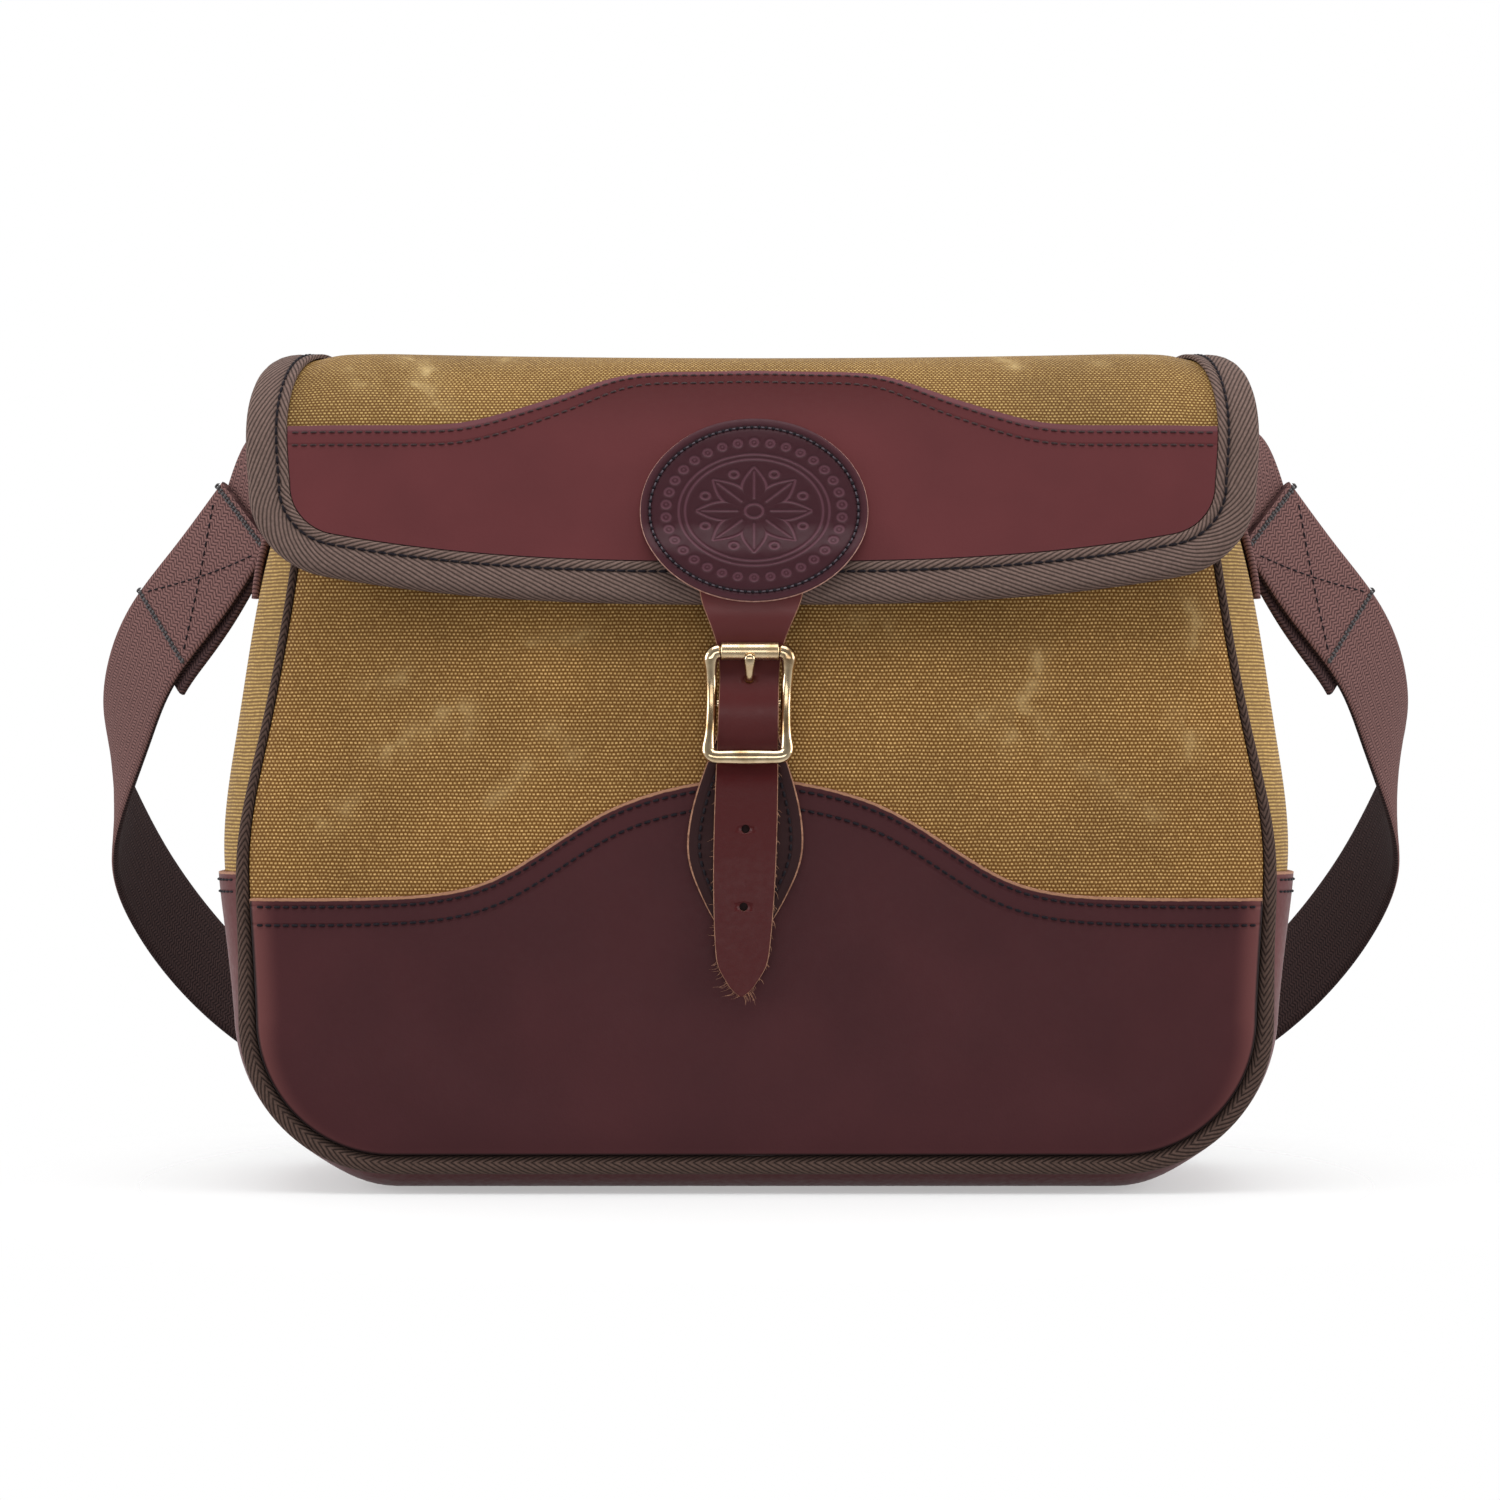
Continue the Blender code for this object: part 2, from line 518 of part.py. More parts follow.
def add_back_and_flap():
    """Back canvas that becomes the flap, and the plain leather across the foot of the back."""
    columns = FLAP_COLUMNS[None, :]
    straight = np.linspace(BACK_LEATHER_TOP - LAP - SEAM_BOTTOM, BACK_LENGTH, 6)
    fold = np.linspace(BACK_LENGTH, FLAP_FRONT_LINE, 20)[1:]
    line = np.concatenate([straight, fold])[:, None]
    x, front_line = flap_front_grid(columns, np.linspace(0, 1, 9)[1:], 0.0)
    x = np.concatenate([columns * flap_half_width(line), x])
    line = np.concatenate([line + 0 * columns, front_line])
    add_wall("back_flap_canvas", flap_at(x, line, 0.0), flap_at(x, line, -CANVAS), "waxed_canvas")
    foot = seam_inset(SEAM_BOTTOM)
    corner_share = (CORNER_RADIUS - foot) / (BACK_LEATHER_TOP - SEAM_BOTTOM - foot)
    shares = np.concatenate([CORNER_ROWS * corner_share, np.linspace(corner_share, 1, 4)[1:]])
    line = foot + shares[:, None] * (BACK_LEATHER_TOP - SEAM_BOTTOM - foot)
    x = columns * flap_half_width(line)
    line = line + 0 * columns
    add_wall("back_leather", flap_at(x, line, GAP + LEATHER), flap_at(x, line, GAP), "bridle_leather")


def add_gusset():
    """The band between front and back: canvas up each side, and a leather boot round the bottom."""
    half = seam_half(6, 6, (76.0, 91.0, BOOT_TOP))
    path = whole_seam(half)
    normals = outward_normals(path)
    across = GUSSET_COLUMNS[None, :]
    add_wall("gusset_leather", gusset_at(path, normals, across, GAP + LEATHER),
             gusset_at(path, normals, across, GAP), "bridle_leather")
    heights = np.linspace(BOOT_TOP - LAP, SEAM_TOP, 9)
    right = np.stack([seam_width(heights), heights], axis=-1)
    normals = outward_normals(right)
    outer = gusset_at(right, normals, across, 0.0)
    inner = gusset_at(right, normals, across, -CANVAS)
    add_wall("gusset_canvas_right", outer, inner, "waxed_canvas")
    add_wall("gusset_canvas_left", outer * (-1, 1, 1), inner * (-1, 1, 1), "waxed_canvas")


def add_piping():
    """A round cord of twill tape along the front and the back seam."""
    path = whole_seam(seam_half(4, 8, np.linspace(CORNER_Z, SEAM_TOP, 10)[1:]))
    normals = outward_normals(path)
    turn = np.linspace(0, 2 * np.pi, 7, endpoint=False)
    radius = piping_radius(path[:, 1:])
    out = radius * np.cos(turn)
    x = path[:, :1] + normals[:, :1] * out
    z = path[:, 1:] + normals[:, 1:] * out
    for name, side in (("front_piping", -1), ("back_piping", 1)):
        y = side * seam_depth(path[:, 1:]) + radius * np.sin(turn)
        add_sweep(name, np.stack([x, y, z], axis=-1), "twill_tape")


def add_flap_trim():
    """Leather yoke on the flap, and the tape folded round the flap's free edge."""
    inset = BINDING_WIDTH + GAP
    columns = YOKE_COLUMNS[None, :]
    top_width = flap_half_width(FLAP_FRONT_LINE - YOKE_FRONT_RISE) - inset
    top_line = line_at_front_height(read_even_table(YOKE_WAVE, columns * top_width))
    x_front, line_front = flap_front_grid(columns, np.linspace(0.04, 1, 8), inset)
    rise = np.linspace(0, 1, 5)[:-1, None]
    line_top = top_line + rise * (line_front[:1] - top_line)
    x_top = columns * (flap_half_width(line_top) - inset)
    x = np.concatenate([x_top, x_front])
    line = np.concatenate([line_top, line_front])
    outer = flap_at(x, line, FLAP_LAYER_GAP + YOKE_LEATHER)
    add_wall("flap_yoke", outer, flap_at(x, line, FLAP_LAYER_GAP), "bridle_leather")
    add_binding()


def binding_route():
    """Edge of the flap's canvas from its back right corner, down and round, to mid front."""
    side_line = np.linspace(BINDING_START_LINE, FLAP_FRONT_LINE, 14)
    side = np.stack([flap_half_width(side_line), side_line], axis=-1)
    half_width, edge_line, _ = flap_row(np.linspace(0, 1, 9)[1:], 0.0)
    corner = np.stack([half_width, edge_line], axis=-1)
    share = np.linspace(1, 0, 6)[1:]
    lower_x = share * half_width[-1]
    lower_line = FLAP_LAST_LINE + (edge_line[-1] - FLAP_LAST_LINE) * share ** FLAP_EDGE_POWER
    lower = np.stack([lower_x, lower_line], axis=-1)
    return np.concatenate([side, corner, lower])


def add_binding():
    """Sweep the binding's folded section along the flap's edge, square to the edge."""
    right = binding_route()
    path = np.concatenate([right * (-1, 1), right[-2::-1]])
    inward = outward_normals(path) * (-1, -1)
    section = np.array(BINDING_SECTION)
    across = path[:, None, :] - inward[:, None, :] * section[:, 0][None, :, None]
    rings = flap_at(across[..., 0], across[..., 1], section[:, 1][None, :])
    add_sweep("flap_binding", rings, "twill_tape")


def add_oval_patch():
    """Oval of glossy leather on the yoke, raised at its foot where the closure strap is sewn under."""
    share = np.linspace(-1, 1, 12)
    across, down = np.meshgrid(share, share)
    x = PATCH_X + PATCH_HALF_WIDTH * across * np.sqrt(1 - down ** 2 / 2)
    line = PATCH_LINE + PATCH_HALF_HEIGHT * down * np.sqrt(1 - across ** 2 / 2)
    lift = PATCH_LIFT * smooth_step(PATCH_LIFT_FROM, PATCH_LIFT_TO, line)
    base = FLAP_LAYER_GAP + YOKE_LEATHER + GAP + lift
    add_wall("oval_patch", flap_at(x, line, base + LEATHER), flap_at(x, line, base), "patch_leather")


def lean(z):
    """The closure hangs slightly to the left as it goes down."""
    return CLOSURE_X + STRAP_LEAN * (z - ROLLER_Z)


def add_closure_strap():
    """Strap from under the patch, behind the roller, over the centre bar and behind the bottom bar."""
    z = np.concatenate([np.linspace(200.5, 140.0, 24), np.linspace(135.0, 90.0, 7),
                        (85.0, 81.3, 78.0, 75.1, 72.8, 71.1, 69.5, 68.3, 67.4, 66.6)])[:, None]
    across = np.linspace(-1, 1, 3)[None, :]
    x = lean(z) + across * read_table(STRAP_OUTLINE, z)
    back = read_table(STRAP_BACK, z) + 0 * across
    height = z + 0 * across
    strap = add_wall("closure_strap", np.stack([x, back - STRAP_THICKNESS, height], axis=-1),
                     np.stack([x, back, height], axis=-1), "bridle_leather")
    for number, (hole_y, hole_z) in enumerate(STRAP_HOLES):
        hole = add_cylinder(f"cutter_hole_{number}", (lean(hole_z), hole_y, hole_z), (0, 1, 0),
                            STRAP_HOLE_RADIUS, CUTTER_LENGTH, 10, "bridle_leather")
        combine(strap, hole, "DIFFERENCE")
    tongue_hole = add_cylinder("cutter_tongue_hole", (lean(TONGUE_HOLE[1]), *TONGUE_HOLE), TONGUE_HOLE_RUN,
                               TONGUE_HOLE_RADIUS, CUTTER_LENGTH, 12, "bridle_leather")
    combine(strap, tongue_hole, "DIFFERENCE")


def add_buckle_leather():
    """Leaf of leather sewn to the bag: its narrow top goes round the centre bar and tucks behind."""
    turn = np.radians(np.linspace(0, 180, 8))
    radius = CENTRE_BAR_RADIUS + GAP + LEATHER / 2
    wrap = np.stack([CENTRE_BAR_Y + radius * np.cos(turn), CENTRE_BAR_Z + radius * np.sin(turn),
                     np.full(len(turn), KEEPER_TAIL[0][2])], axis=-1)
    route = np.concatenate([KEEPER_TAIL, wrap, KEEPER_LEAF])
    middle = route[:, :2]
    along = np.gradient(middle, axis=0)
    along = along / np.linalg.norm(along, axis=1, keepdims=True)
    out = np.stack([along[:, 1], -along[:, 0]], axis=-1)
    across = np.linspace(-1, 1, 3)[None, :]
    x = lean(middle[:, 1:]) + across * route[:, 2:]
    faces = []
    for side in (LEATHER / 2, -LEATHER / 2):
        y = (middle[:, :1] + side * out[:, :1]) + 0 * across
        z = (middle[:, 1:] + side * out[:, 1:]) + 0 * across
        faces.append(np.stack([x, y, z], axis=-1))
    leather = add_wall("buckle_leather", faces[0], faces[1], "bridle_leather")
    slot = add_cylinder("cutter_tongue_slot", (lean(CENTRE_BAR_Z), CENTRE_BAR_Y, CENTRE_BAR_Z), (1, 0, 0),
                        KEEPER_SLOT_RADIUS, KEEPER_SLOT_LENGTH, 16, "bridle_leather")
    combine(leather, slot, "DIFFERENCE")


def frame_half():
    """Right half of the frame's middle line from mid top: x from the middle, y, z, and the two radii."""
    round_top = np.radians(np.array([30.0, 60.0, 90.0]))
    round_foot = np.radians(np.array([0.0, 30.0, 60.0, 90.0]))
    side_z = np.array([169.0, 164.0, 159.0, 154.0, 149.0])
    waist = np.sin(np.pi * (side_z - BOTTOM_BAR_Z) / (ROLLER_Z - BOTTOM_BAR_Z)) ** 2
    side_x = FRAME_HALF_WIDTH - FRAME_WAIST * waist
    top_x = FRAME_HALF_WIDTH - FRAME_TOP_CORNER
    top_z = ROLLER_Z - FRAME_TOP_CORNER
    foot_x = FRAME_HALF_WIDTH + 0.1 - FRAME_FOOT_CORNER
    foot_z = BOTTOM_BAR_Z + FRAME_FOOT_CORNER
    rows = [(0.0, ROLLER_Z, 1.2, 1.2), (9.3, ROLLER_Z, 1.2, 1.2), (9.7, ROLLER_Z, 2.0, 2.1)]
    rows += [(top_x + FRAME_TOP_CORNER * np.sin(turn), top_z + FRAME_TOP_CORNER * np.cos(turn), 2.0, 2.1)
             for turn in round_top]
    rows += [(x, z, 1.75, 1.9) for x, z in zip(side_x, side_z)]
    rows += [(foot_x + FRAME_FOOT_CORNER * np.cos(turn), foot_z - FRAME_FOOT_CORNER * np.sin(turn), 2.2, 1.7)
             for turn in round_foot]
    rows += [(0.0, BOTTOM_BAR_Z, 2.4, 1.7)]
    rows = np.array(rows)
    heights = (BOTTOM_BAR_Z, CENTRE_BAR_Z, ROLLER_Z - FRAME_TOP_CORNER)
    y = spline(heights, (BOTTOM_BAR_Y, FRAME_WAIST_Y, ROLLER_Y), np.clip(rows[:, 1], heights[0], heights[-1]))
    return np.column_stack([rows[:, 0], y, rows[:, 1:]])


def add_buckle():
    """Brass frame with a roller on its top bar, a bar across its middle and a tongue on that bar."""
    right = frame_half()
    loop = np.concatenate([right, right[-2:0:-1] * (-1, 1, 1, 1, 1)])
    after = np.roll(loop, -1, axis=0)[:, (0, 2)]
    before = np.roll(loop, 1, axis=0)[:, (0, 2)]
    along = (after - before) / np.linalg.norm(after - before, axis=1, keepdims=True)
    turn = np.linspace(0, 2 * np.pi, 8, endpoint=False) + np.pi / 8
    wide = loop[:, 3:4] * np.cos(turn)
    x = loop[:, :1] + lean(loop[:, 2:3]) - along[:, 1:] * wide
    z = loop[:, 2:3] + along[:, :1] * wide
    y = loop[:, 1:2] + loop[:, 4:5] * np.sin(turn)
    frame = add_loop("buckle_frame", np.stack([x, y, z], axis=-1), "polished_brass")
    bar_middle = (lean(CENTRE_BAR_Z), CENTRE_BAR_Y, CENTRE_BAR_Z)
    bar = add_cylinder("joined_centre_bar", bar_middle, (1, 0, 0), CENTRE_BAR_RADIUS, CENTRE_BAR_LENGTH, 10,
                       "polished_brass")
    combine(frame, bar, "UNION")
    roller_middle = (lean(ROLLER_Z), ROLLER_Y, ROLLER_Z)
    roller = add_cylinder("buckle_roller", roller_middle, (1, 0, 0), ROLLER_RADIUS, ROLLER_LENGTH, 14,
                          "polished_brass")
    bore = add_cylinder("cutter_roller_bore", roller_middle, (1, 0, 0), ROLLER_BORE, 2 * ROLLER_LENGTH, 14,
                        "polished_brass")
    combine(roller, bore, "DIFFERENCE")
    add_tongue(bar_middle)


def add_tongue(bar_middle):
    """Tongue: a ring round the centre bar, and a prong through the strap whose tip lies on the roller."""
    route = np.array(TONGUE_PATH)
    along = np.gradient(route[:, :2], axis=0)
    along = along / np.linalg.norm(along, axis=1, keepdims=True)
    turn = np.linspace(0, 2 * np.pi, 8, endpoint=False) + np.pi / 8
    thick = route[:, 3:4] * np.sin(turn)
    x = lean(route[:, 1:2]) + route[:, 2:3] * np.cos(turn)
    y = route[:, :1] + along[:, 1:] * thick
    z = route[:, 1:2] - along[:, :1] * thick
    tongue = add_sweep("buckle_tongue", np.stack([x, y, z], axis=-1), "polished_brass")
    ring = add_cylinder("joined_tongue_ring", bar_middle, (1, 0, 0), TONGUE_RING_RADIUS, TONGUE_RING_LENGTH,
                        16, "polished_brass")
    combine(tongue, ring, "UNION")
    bore = add_cylinder("cutter_tongue_ring", bar_middle, (1, 0, 0), CENTRE_BAR_RADIUS + GAP, CUTTER_LENGTH,
                        16, "polished_brass")
    combine(tongue, bore, "DIFFERENCE")


def ribbon_route(table, spacing):
    """Smooth route through a ribbon's stations: middle points, cross lines and outward normals."""
    table = np.array(table)
    reach = np.linalg.norm(np.diff(table[:, :3], axis=0), axis=1)
    reach = np.concatenate([(0.0,), np.cumsum(reach)])
    where = np.linspace(0, reach[-1], int(round(reach[-1] / spacing)) + 1)
    row = spline(reach, table, where)
    turn = np.radians(row[:, 3])
    dip = np.radians(row[:, 4])
    cross = np.stack([np.cos(dip) * np.sin(turn), -np.cos(dip) * np.cos(turn), -np.sin(dip)], axis=-1)
    along = np.gradient(row[:, :3], axis=0)
    out = np.cross(along, cross)
    out = out / np.linalg.norm(out, axis=1, keepdims=True)
    return row[:, :3], cross, out


def ribbon_grid(middle, cross, out, lift):
    """Points of the two edges of a ribbon's face, at one distance out of its route."""
    half = np.array([-0.5, 0.5])[None, :, None] * WEBBING_WIDTH * cross[:, None, :]
    return (middle + out * lift)[:, None, :] + half


def add_shoulder_strap():
    """Webbing strap, sewn over two folded tabs, whose loop stands on its front edge behind the bag."""
    route = ribbon_route(SHOULDER_ROUTE, STATION)
    faces = []
    for lift in (0.0, -WEBBING):
        left = ribbon_grid(*route, lift)
        faces.append(np.concatenate([left, left[-2::-1] * (-1, 1, 1)]))
    add_wall("shoulder_strap", faces[0], faces[1], "cotton_webbing")
    middle, cross, out = route
    under = -(WEBBING + GAP)
    start = middle[0] + out[0] * (under - WEBBING / 2)
    table = np.concatenate([np.array(TAB_ROUTE), [(*start, *SHOULDER_ROUTE[0][3:])]])
    upper_route = ribbon_route(table, STATION / 2)
    under_count = int(TAB_END / STATION) + 1
    aside = TAB_SHIFT * smooth_step(0, TAB_SHIFT_LENGTH, STATION * np.arange(len(middle)))[:, None]
    faces = []
    for lift in (WEBBING / 2, -WEBBING / 2):
        upper = ribbon_grid(*upper_route, lift)
        lower = ribbon_grid(middle + aside * cross, cross, out, under - WEBBING / 2 + lift)
        faces.append(np.concatenate([upper[:-1], lower[:under_count]]))
    add_wall("strap_tab_left", faces[0], faces[1], "cotton_webbing")
    add_wall("strap_tab_right", faces[0][::-1] * (-1, 1, 1), faces[1][::-1] * (-1, 1, 1), "cotton_webbing")


clear_scene()
add_front_panels()
add_back_and_flap()
add_gusset()
add_piping()
add_flap_trim()
add_oval_patch()
add_closure_strap()
add_buckle_leather()
add_buckle()
add_shoulder_strap()
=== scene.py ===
"""A waxed canvas satchel with leather trim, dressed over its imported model.

Sizes are millimetres until a mesh is made. The origin is the middle of the bag's flat bottom, +X runs
across the bag, the front faces -Y and +Z is up. The pieces' heights are measured from DRAWING_FOOT below
the bottom, which new_piece takes off. Cloth, leather and webbing carry a "cloth" attribute of three
values: on cloth and webbing millimetres across, millimetres along, and a value that the material
explains; on leather the distances from its edges, or a place on it, which its tints follow.
"""

import bmesh
import bpy
import numpy as np
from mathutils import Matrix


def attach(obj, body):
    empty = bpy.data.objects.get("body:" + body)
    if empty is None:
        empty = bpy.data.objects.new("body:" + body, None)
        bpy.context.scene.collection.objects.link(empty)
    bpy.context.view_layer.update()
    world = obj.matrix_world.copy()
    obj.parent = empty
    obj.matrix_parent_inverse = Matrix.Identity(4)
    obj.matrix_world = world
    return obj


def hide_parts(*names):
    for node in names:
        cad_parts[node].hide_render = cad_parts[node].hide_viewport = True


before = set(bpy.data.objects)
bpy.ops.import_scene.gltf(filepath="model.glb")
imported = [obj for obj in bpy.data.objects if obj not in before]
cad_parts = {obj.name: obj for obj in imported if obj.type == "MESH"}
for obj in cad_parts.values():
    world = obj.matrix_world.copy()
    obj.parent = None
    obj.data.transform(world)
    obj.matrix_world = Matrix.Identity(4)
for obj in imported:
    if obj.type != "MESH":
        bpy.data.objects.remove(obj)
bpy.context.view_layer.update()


# The camera stands level with the middle of the bag, far off, so the front shows almost without
# perspective. The bag stands on pale paper that fades into a white room. The room's light is soft: its
# walls beside and behind the bag are bright and its front is dim, a broad lamp hangs above, one stands on
# each side, and a long low one lights the foot.
MM = 0.001
CAMERA_PLACE = (-2.0, -1385.0, 141.0)
LENS_LENGTH = 100.76
FLOOR_RADIUS = 1500.0
FLOOR_SIDES = 64
FLOOR_FADE = (100.0, 290.0)
FLOOR_SHARE = 0.6
WALL_FRONT = 0.19
WALL_BEHIND = 1.24
LAMPS = {
    # name: place, aimed at, width, height, power in watts
    "lamp_above": ((0.0, -420.0, 1350.0), (0.0, 0.0, 120.0), 1500.0, 900.0, 11.5),
    "lamp_left": ((-1250.0, -300.0, 420.0), (0.0, 0.0, 120.0), 700.0, 900.0, 7.5),
    "lamp_right": ((1250.0, -300.0, 420.0), (0.0, 0.0, 120.0), 700.0, 900.0, 7.5),
    "lamp_low": ((0.0, -1100.0, 90.0), (0.0, 0.0, 30.0), 1300.0, 300.0, 2.8),
}


def aim(item, place, target):
    """Put a camera or lamp at a place and turn its -Z axis to a target."""
    offset = np.array(target) - np.array(place)
    item.location = np.array(place) * MM
    level = np.hypot(offset[0], offset[1])
    item.rotation_euler = (np.arctan2(level, -offset[2]), 0.0, np.arctan2(-offset[0], offset[1]))


def linear(hex_colour):
    """Turn an sRGB hex colour into a linear colour with its alpha."""
    shares = np.array([int(hex_colour[at:at + 2], 16) for at in (1, 3, 5)]) / 255
    shares = np.where(shares <= 0.04045, shares / 12.92, ((shares + 0.055) / 1.055) ** 2.4)
    return (*shares.tolist(), 1.0)


def join(*parts):
    """Spread parts to one shape and set them side by side as the last axis."""
    return np.stack(np.broadcast_arrays(*parts), axis=-1)


def add_node(tree, kind, settings=None, inputs=None):
    """Add a node with its settings. An input is a value, a socket, or a node's first output."""
    node = tree.nodes.new(kind)
    for key, value in (settings or {}).items():
        setattr(node, key, value)
    for key, value in (inputs or {}).items():
        if isinstance(value, bpy.types.Node):
            value = value.outputs[0]
        if isinstance(value, bpy.types.NodeSocket):
            tree.links.new(value, node.inputs[key])
        else:
            node.inputs[key].default_value = value
    return node


def new_material(name):
    """Start a material and return it with its node tree and its surface shader."""
    material = bpy.data.materials.new(name)
    material.use_nodes = True
    return material, material.node_tree, material.node_tree.nodes["Principled BSDF"]


camera = bpy.data.objects.new("camera", bpy.data.cameras.new("camera"))
camera.data.lens = LENS_LENGTH
camera.data.clip_end = 100.0
bpy.context.scene.collection.objects.link(camera)
aim(camera, CAMERA_PLACE, (CAMERA_PLACE[0], 0.0, CAMERA_PLACE[2]))
bpy.context.scene.camera = camera
bpy.context.scene.view_settings.view_transform = "Standard"

for lamp_name, (place, target, width, height, power) in LAMPS.items():
    lamp_data = bpy.data.lights.new(lamp_name, "AREA")
    lamp_data.shape = "RECTANGLE"
    lamp_data.size = width * MM
    lamp_data.size_y = height * MM
    lamp_data.energy = power
    lamp = bpy.data.objects.new(lamp_name, lamp_data)
    bpy.context.scene.collection.objects.link(lamp)
    aim(lamp, place, target)

room = bpy.data.worlds.new("room")
bpy.context.scene.world = room
room.use_nodes = True
room.node_tree.nodes.clear()
seen = add_node(room.node_tree, "ShaderNodeLightPath")
direction = add_node(room.node_tree, "ShaderNodeTexCoord").outputs["Generated"]
backward = add_node(room.node_tree, "ShaderNodeSeparateXYZ", None, {0: direction}).outputs["Y"]
wall_level = add_node(room.node_tree, "ShaderNodeMapRange", None,
                      {"Value": backward, "From Min": -1.0, "To Min": WALL_FRONT, "To Max": WALL_BEHIND})
wall_light = add_node(room.node_tree, "ShaderNodeBackground", None, {0: linear("#F4F4F5"), 1: wall_level})
white = add_node(room.node_tree, "ShaderNodeBackground", None, {0: (1.0, 1.0, 1.0, 1.0), 1: 1.0})
mixed = add_node(room.node_tree, "ShaderNodeMixShader", None, {0: seen, 1: wall_light, 2: white})
add_node(room.node_tree, "ShaderNodeOutputWorld", None, {0: mixed})

floor_mesh = bpy.data.meshes.new("floor")
floor_turn = np.linspace(0, 2 * np.pi, FLOOR_SIDES, endpoint=False)
floor_rim = join(np.cos(floor_turn), np.sin(floor_turn), 0.0) * FLOOR_RADIUS * MM
floor_mesh.from_pydata(floor_rim.tolist(), [], [list(range(FLOOR_SIDES))])
floor = bpy.data.objects.new("floor", floor_mesh)
bpy.context.scene.collection.objects.link(floor)
paper, paper_tree, paper_shader = new_material("matt_paper")
paper_shader.inputs["Base Color"].default_value = linear("#F4F4F4")
paper_shader.inputs["Roughness"].default_value = 0.9
paper_shader.inputs["Specular IOR Level"].default_value = 0.1
paper_place = add_node(paper_tree, "ShaderNodeTexCoord").outputs["Object"]
paper_reach = add_node(paper_tree, "ShaderNodeVectorMath", {"operation": "LENGTH"}, {0: paper_place})
paper_fade = add_node(paper_tree, "ShaderNodeMapRange", {"interpolation_type": "SMOOTHSTEP"},
                      {"Value": paper_reach.outputs["Value"], "From Min": FLOOR_FADE[0] * MM,
                       "From Max": FLOOR_FADE[1] * MM, "To Min": FLOOR_SHARE, "To Max": 0.0})
paper_tree.links.new(paper_fade.outputs[0], paper_shader.inputs["Alpha"])
floor_mesh.materials.append(paper)


# Front panel: heavy cotton duck soaked in wax, tan, 1.6 mm thick with its turned edges. It is sewn to
# the gusset through a piped seam at each side, so it rolls back into the seam and is full in the middle.
DRAWING_FOOT = 3.2
CANVAS = 1.6
GAP = 0.3
LAP = 12.0
SEAM_BOTTOM = 12.5
SEAM_TOP = 242.0
FRONT_TOP = 240.0
CORNER_RADIUS = 46.5
CORNER_X = 115.5
CORNER_Z = SEAM_BOTTOM + CORNER_RADIUS
HALF_DEPTH_BOTTOM = 52.0
HALF_DEPTH_SLOPE = -19.0 / 232.5
PIPING_CLEARANCE = 0.4
ROLL_DEPTH = 3.5
ROLL_LENGTH = 6.0
PILLOW_POWER = 2.4
SHARP_ANGLE = 50.0
RIM_SHARES = (0.2, 0.5, 0.8)
RIM_ROUND_OUT = 0.3
EVEN_SHARE = 0.55
FRONT_COLUMNS = 141
FRONT_ROWS = 71
# Height over the round corners at which the panel's width is taken for its waved edge
WAVE_RISE = 50.0
# Seam piping, thinner up the sides: height, radius
PIPING_RADIUS = ((12.5, 3.0), (50.0, 3.0), (65.0, 2.85), (80.0, 2.5), (97.0, 2.25), (122.0, 1.85),
                 (141.0, 1.55), (160.0, 1.4), (200.0, 1.3), (245.0, 1.3))
# Half of the seam above its round corner: height, half width
SEAM_SIDE = ((59.0, 162.0), (85.0, 163.1), (112.0, 163.9), (149.0, 157.6), (189.0, 150.4), (245.0, 143.0))
# How far the front panel's middle stands out: height, depth
FRONT_PILLOW = ((12.5, 0.0), (30.0, 2.0), (70.0, 6.3), (110.0, 9.0), (160.0, 8.1), (190.0, 6.5),
                (245.0, 2.0))
# Waved top edge of the front leather: distance from its middle, height
LEATHER_WAVE = ((0.0, 135.2), (20.0, 133.0), (47.0, 124.3), (65.0, 113.3), (83.0, 103.0), (100.0, 98.6),
                (118.0, 97.3), (165.0, 96.8))
WAVE_MIDDLE_X = -2.2
# Soft unevenness of the stuffed front: length of the wave across, along, its start and its height
FRONT_UNEVEN = ((94.0, 71.0, 0.4, 0.35), (61.0, 113.0, 2.1, 0.25), (143.0, 52.0, 3.7, 0.25),
                (37.0, 45.0, 5.2, 0.12))
# The unevenness grows over this distance from the seam, and from the closure's edge to twice as far
UNEVEN_FADE = (3.0, 30.0)
CLOSURE_HALF_WIDTH = 24.0
# Plain weave: distance between two neighbouring floats across, and between two rows of them
FLOAT_ACROSS = 0.65
FLOAT_ALONG = 1.16
FLOAT_FLATNESS = 2.6
CREASE_HALF_WIDTH = 1.4
CREASE_BOW = 1.8
CREASE_HALO = 5.0
HALO_SHARE = 0.5
# Pale marks where the waxed front was folded: first point, last point, strength
FRONT_CREASES = (((-119.0, 143.5), (-99.5, 156.5), 0.7), ((-99.5, 156.5), (-93.0, 158.0), 0.85),
                 ((-93.0, 158.0), (-92.5, 148.0), 0.35), ((-124.0, 164.0), (-112.0, 168.0), 0.5),
                 ((-140.0, 121.5), (-129.0, 127.0), 0.55), ((-73.0, 177.0), (-55.0, 181.0), 0.45),
                 ((-66.0, 150.0), (-58.0, 143.0), 0.4), ((-84.0, 128.0), (-74.0, 138.0), 0.5),
                 ((89.5, 174.0), (84.0, 160.0), 0.65), ((84.0, 160.0), (79.0, 146.0), 0.5),
                 ((69.0, 155.0), (84.0, 160.0), 0.45), ((84.0, 160.0), (94.5, 143.0), 0.4),
                 ((138.0, 190.0), (140.0, 179.0), 0.6), ((135.0, 154.0), (138.0, 142.0), 0.5),
                 ((104.0, 138.0), (127.0, 122.0), 0.35), ((30.0, 186.0), (44.0, 183.0), 0.35))


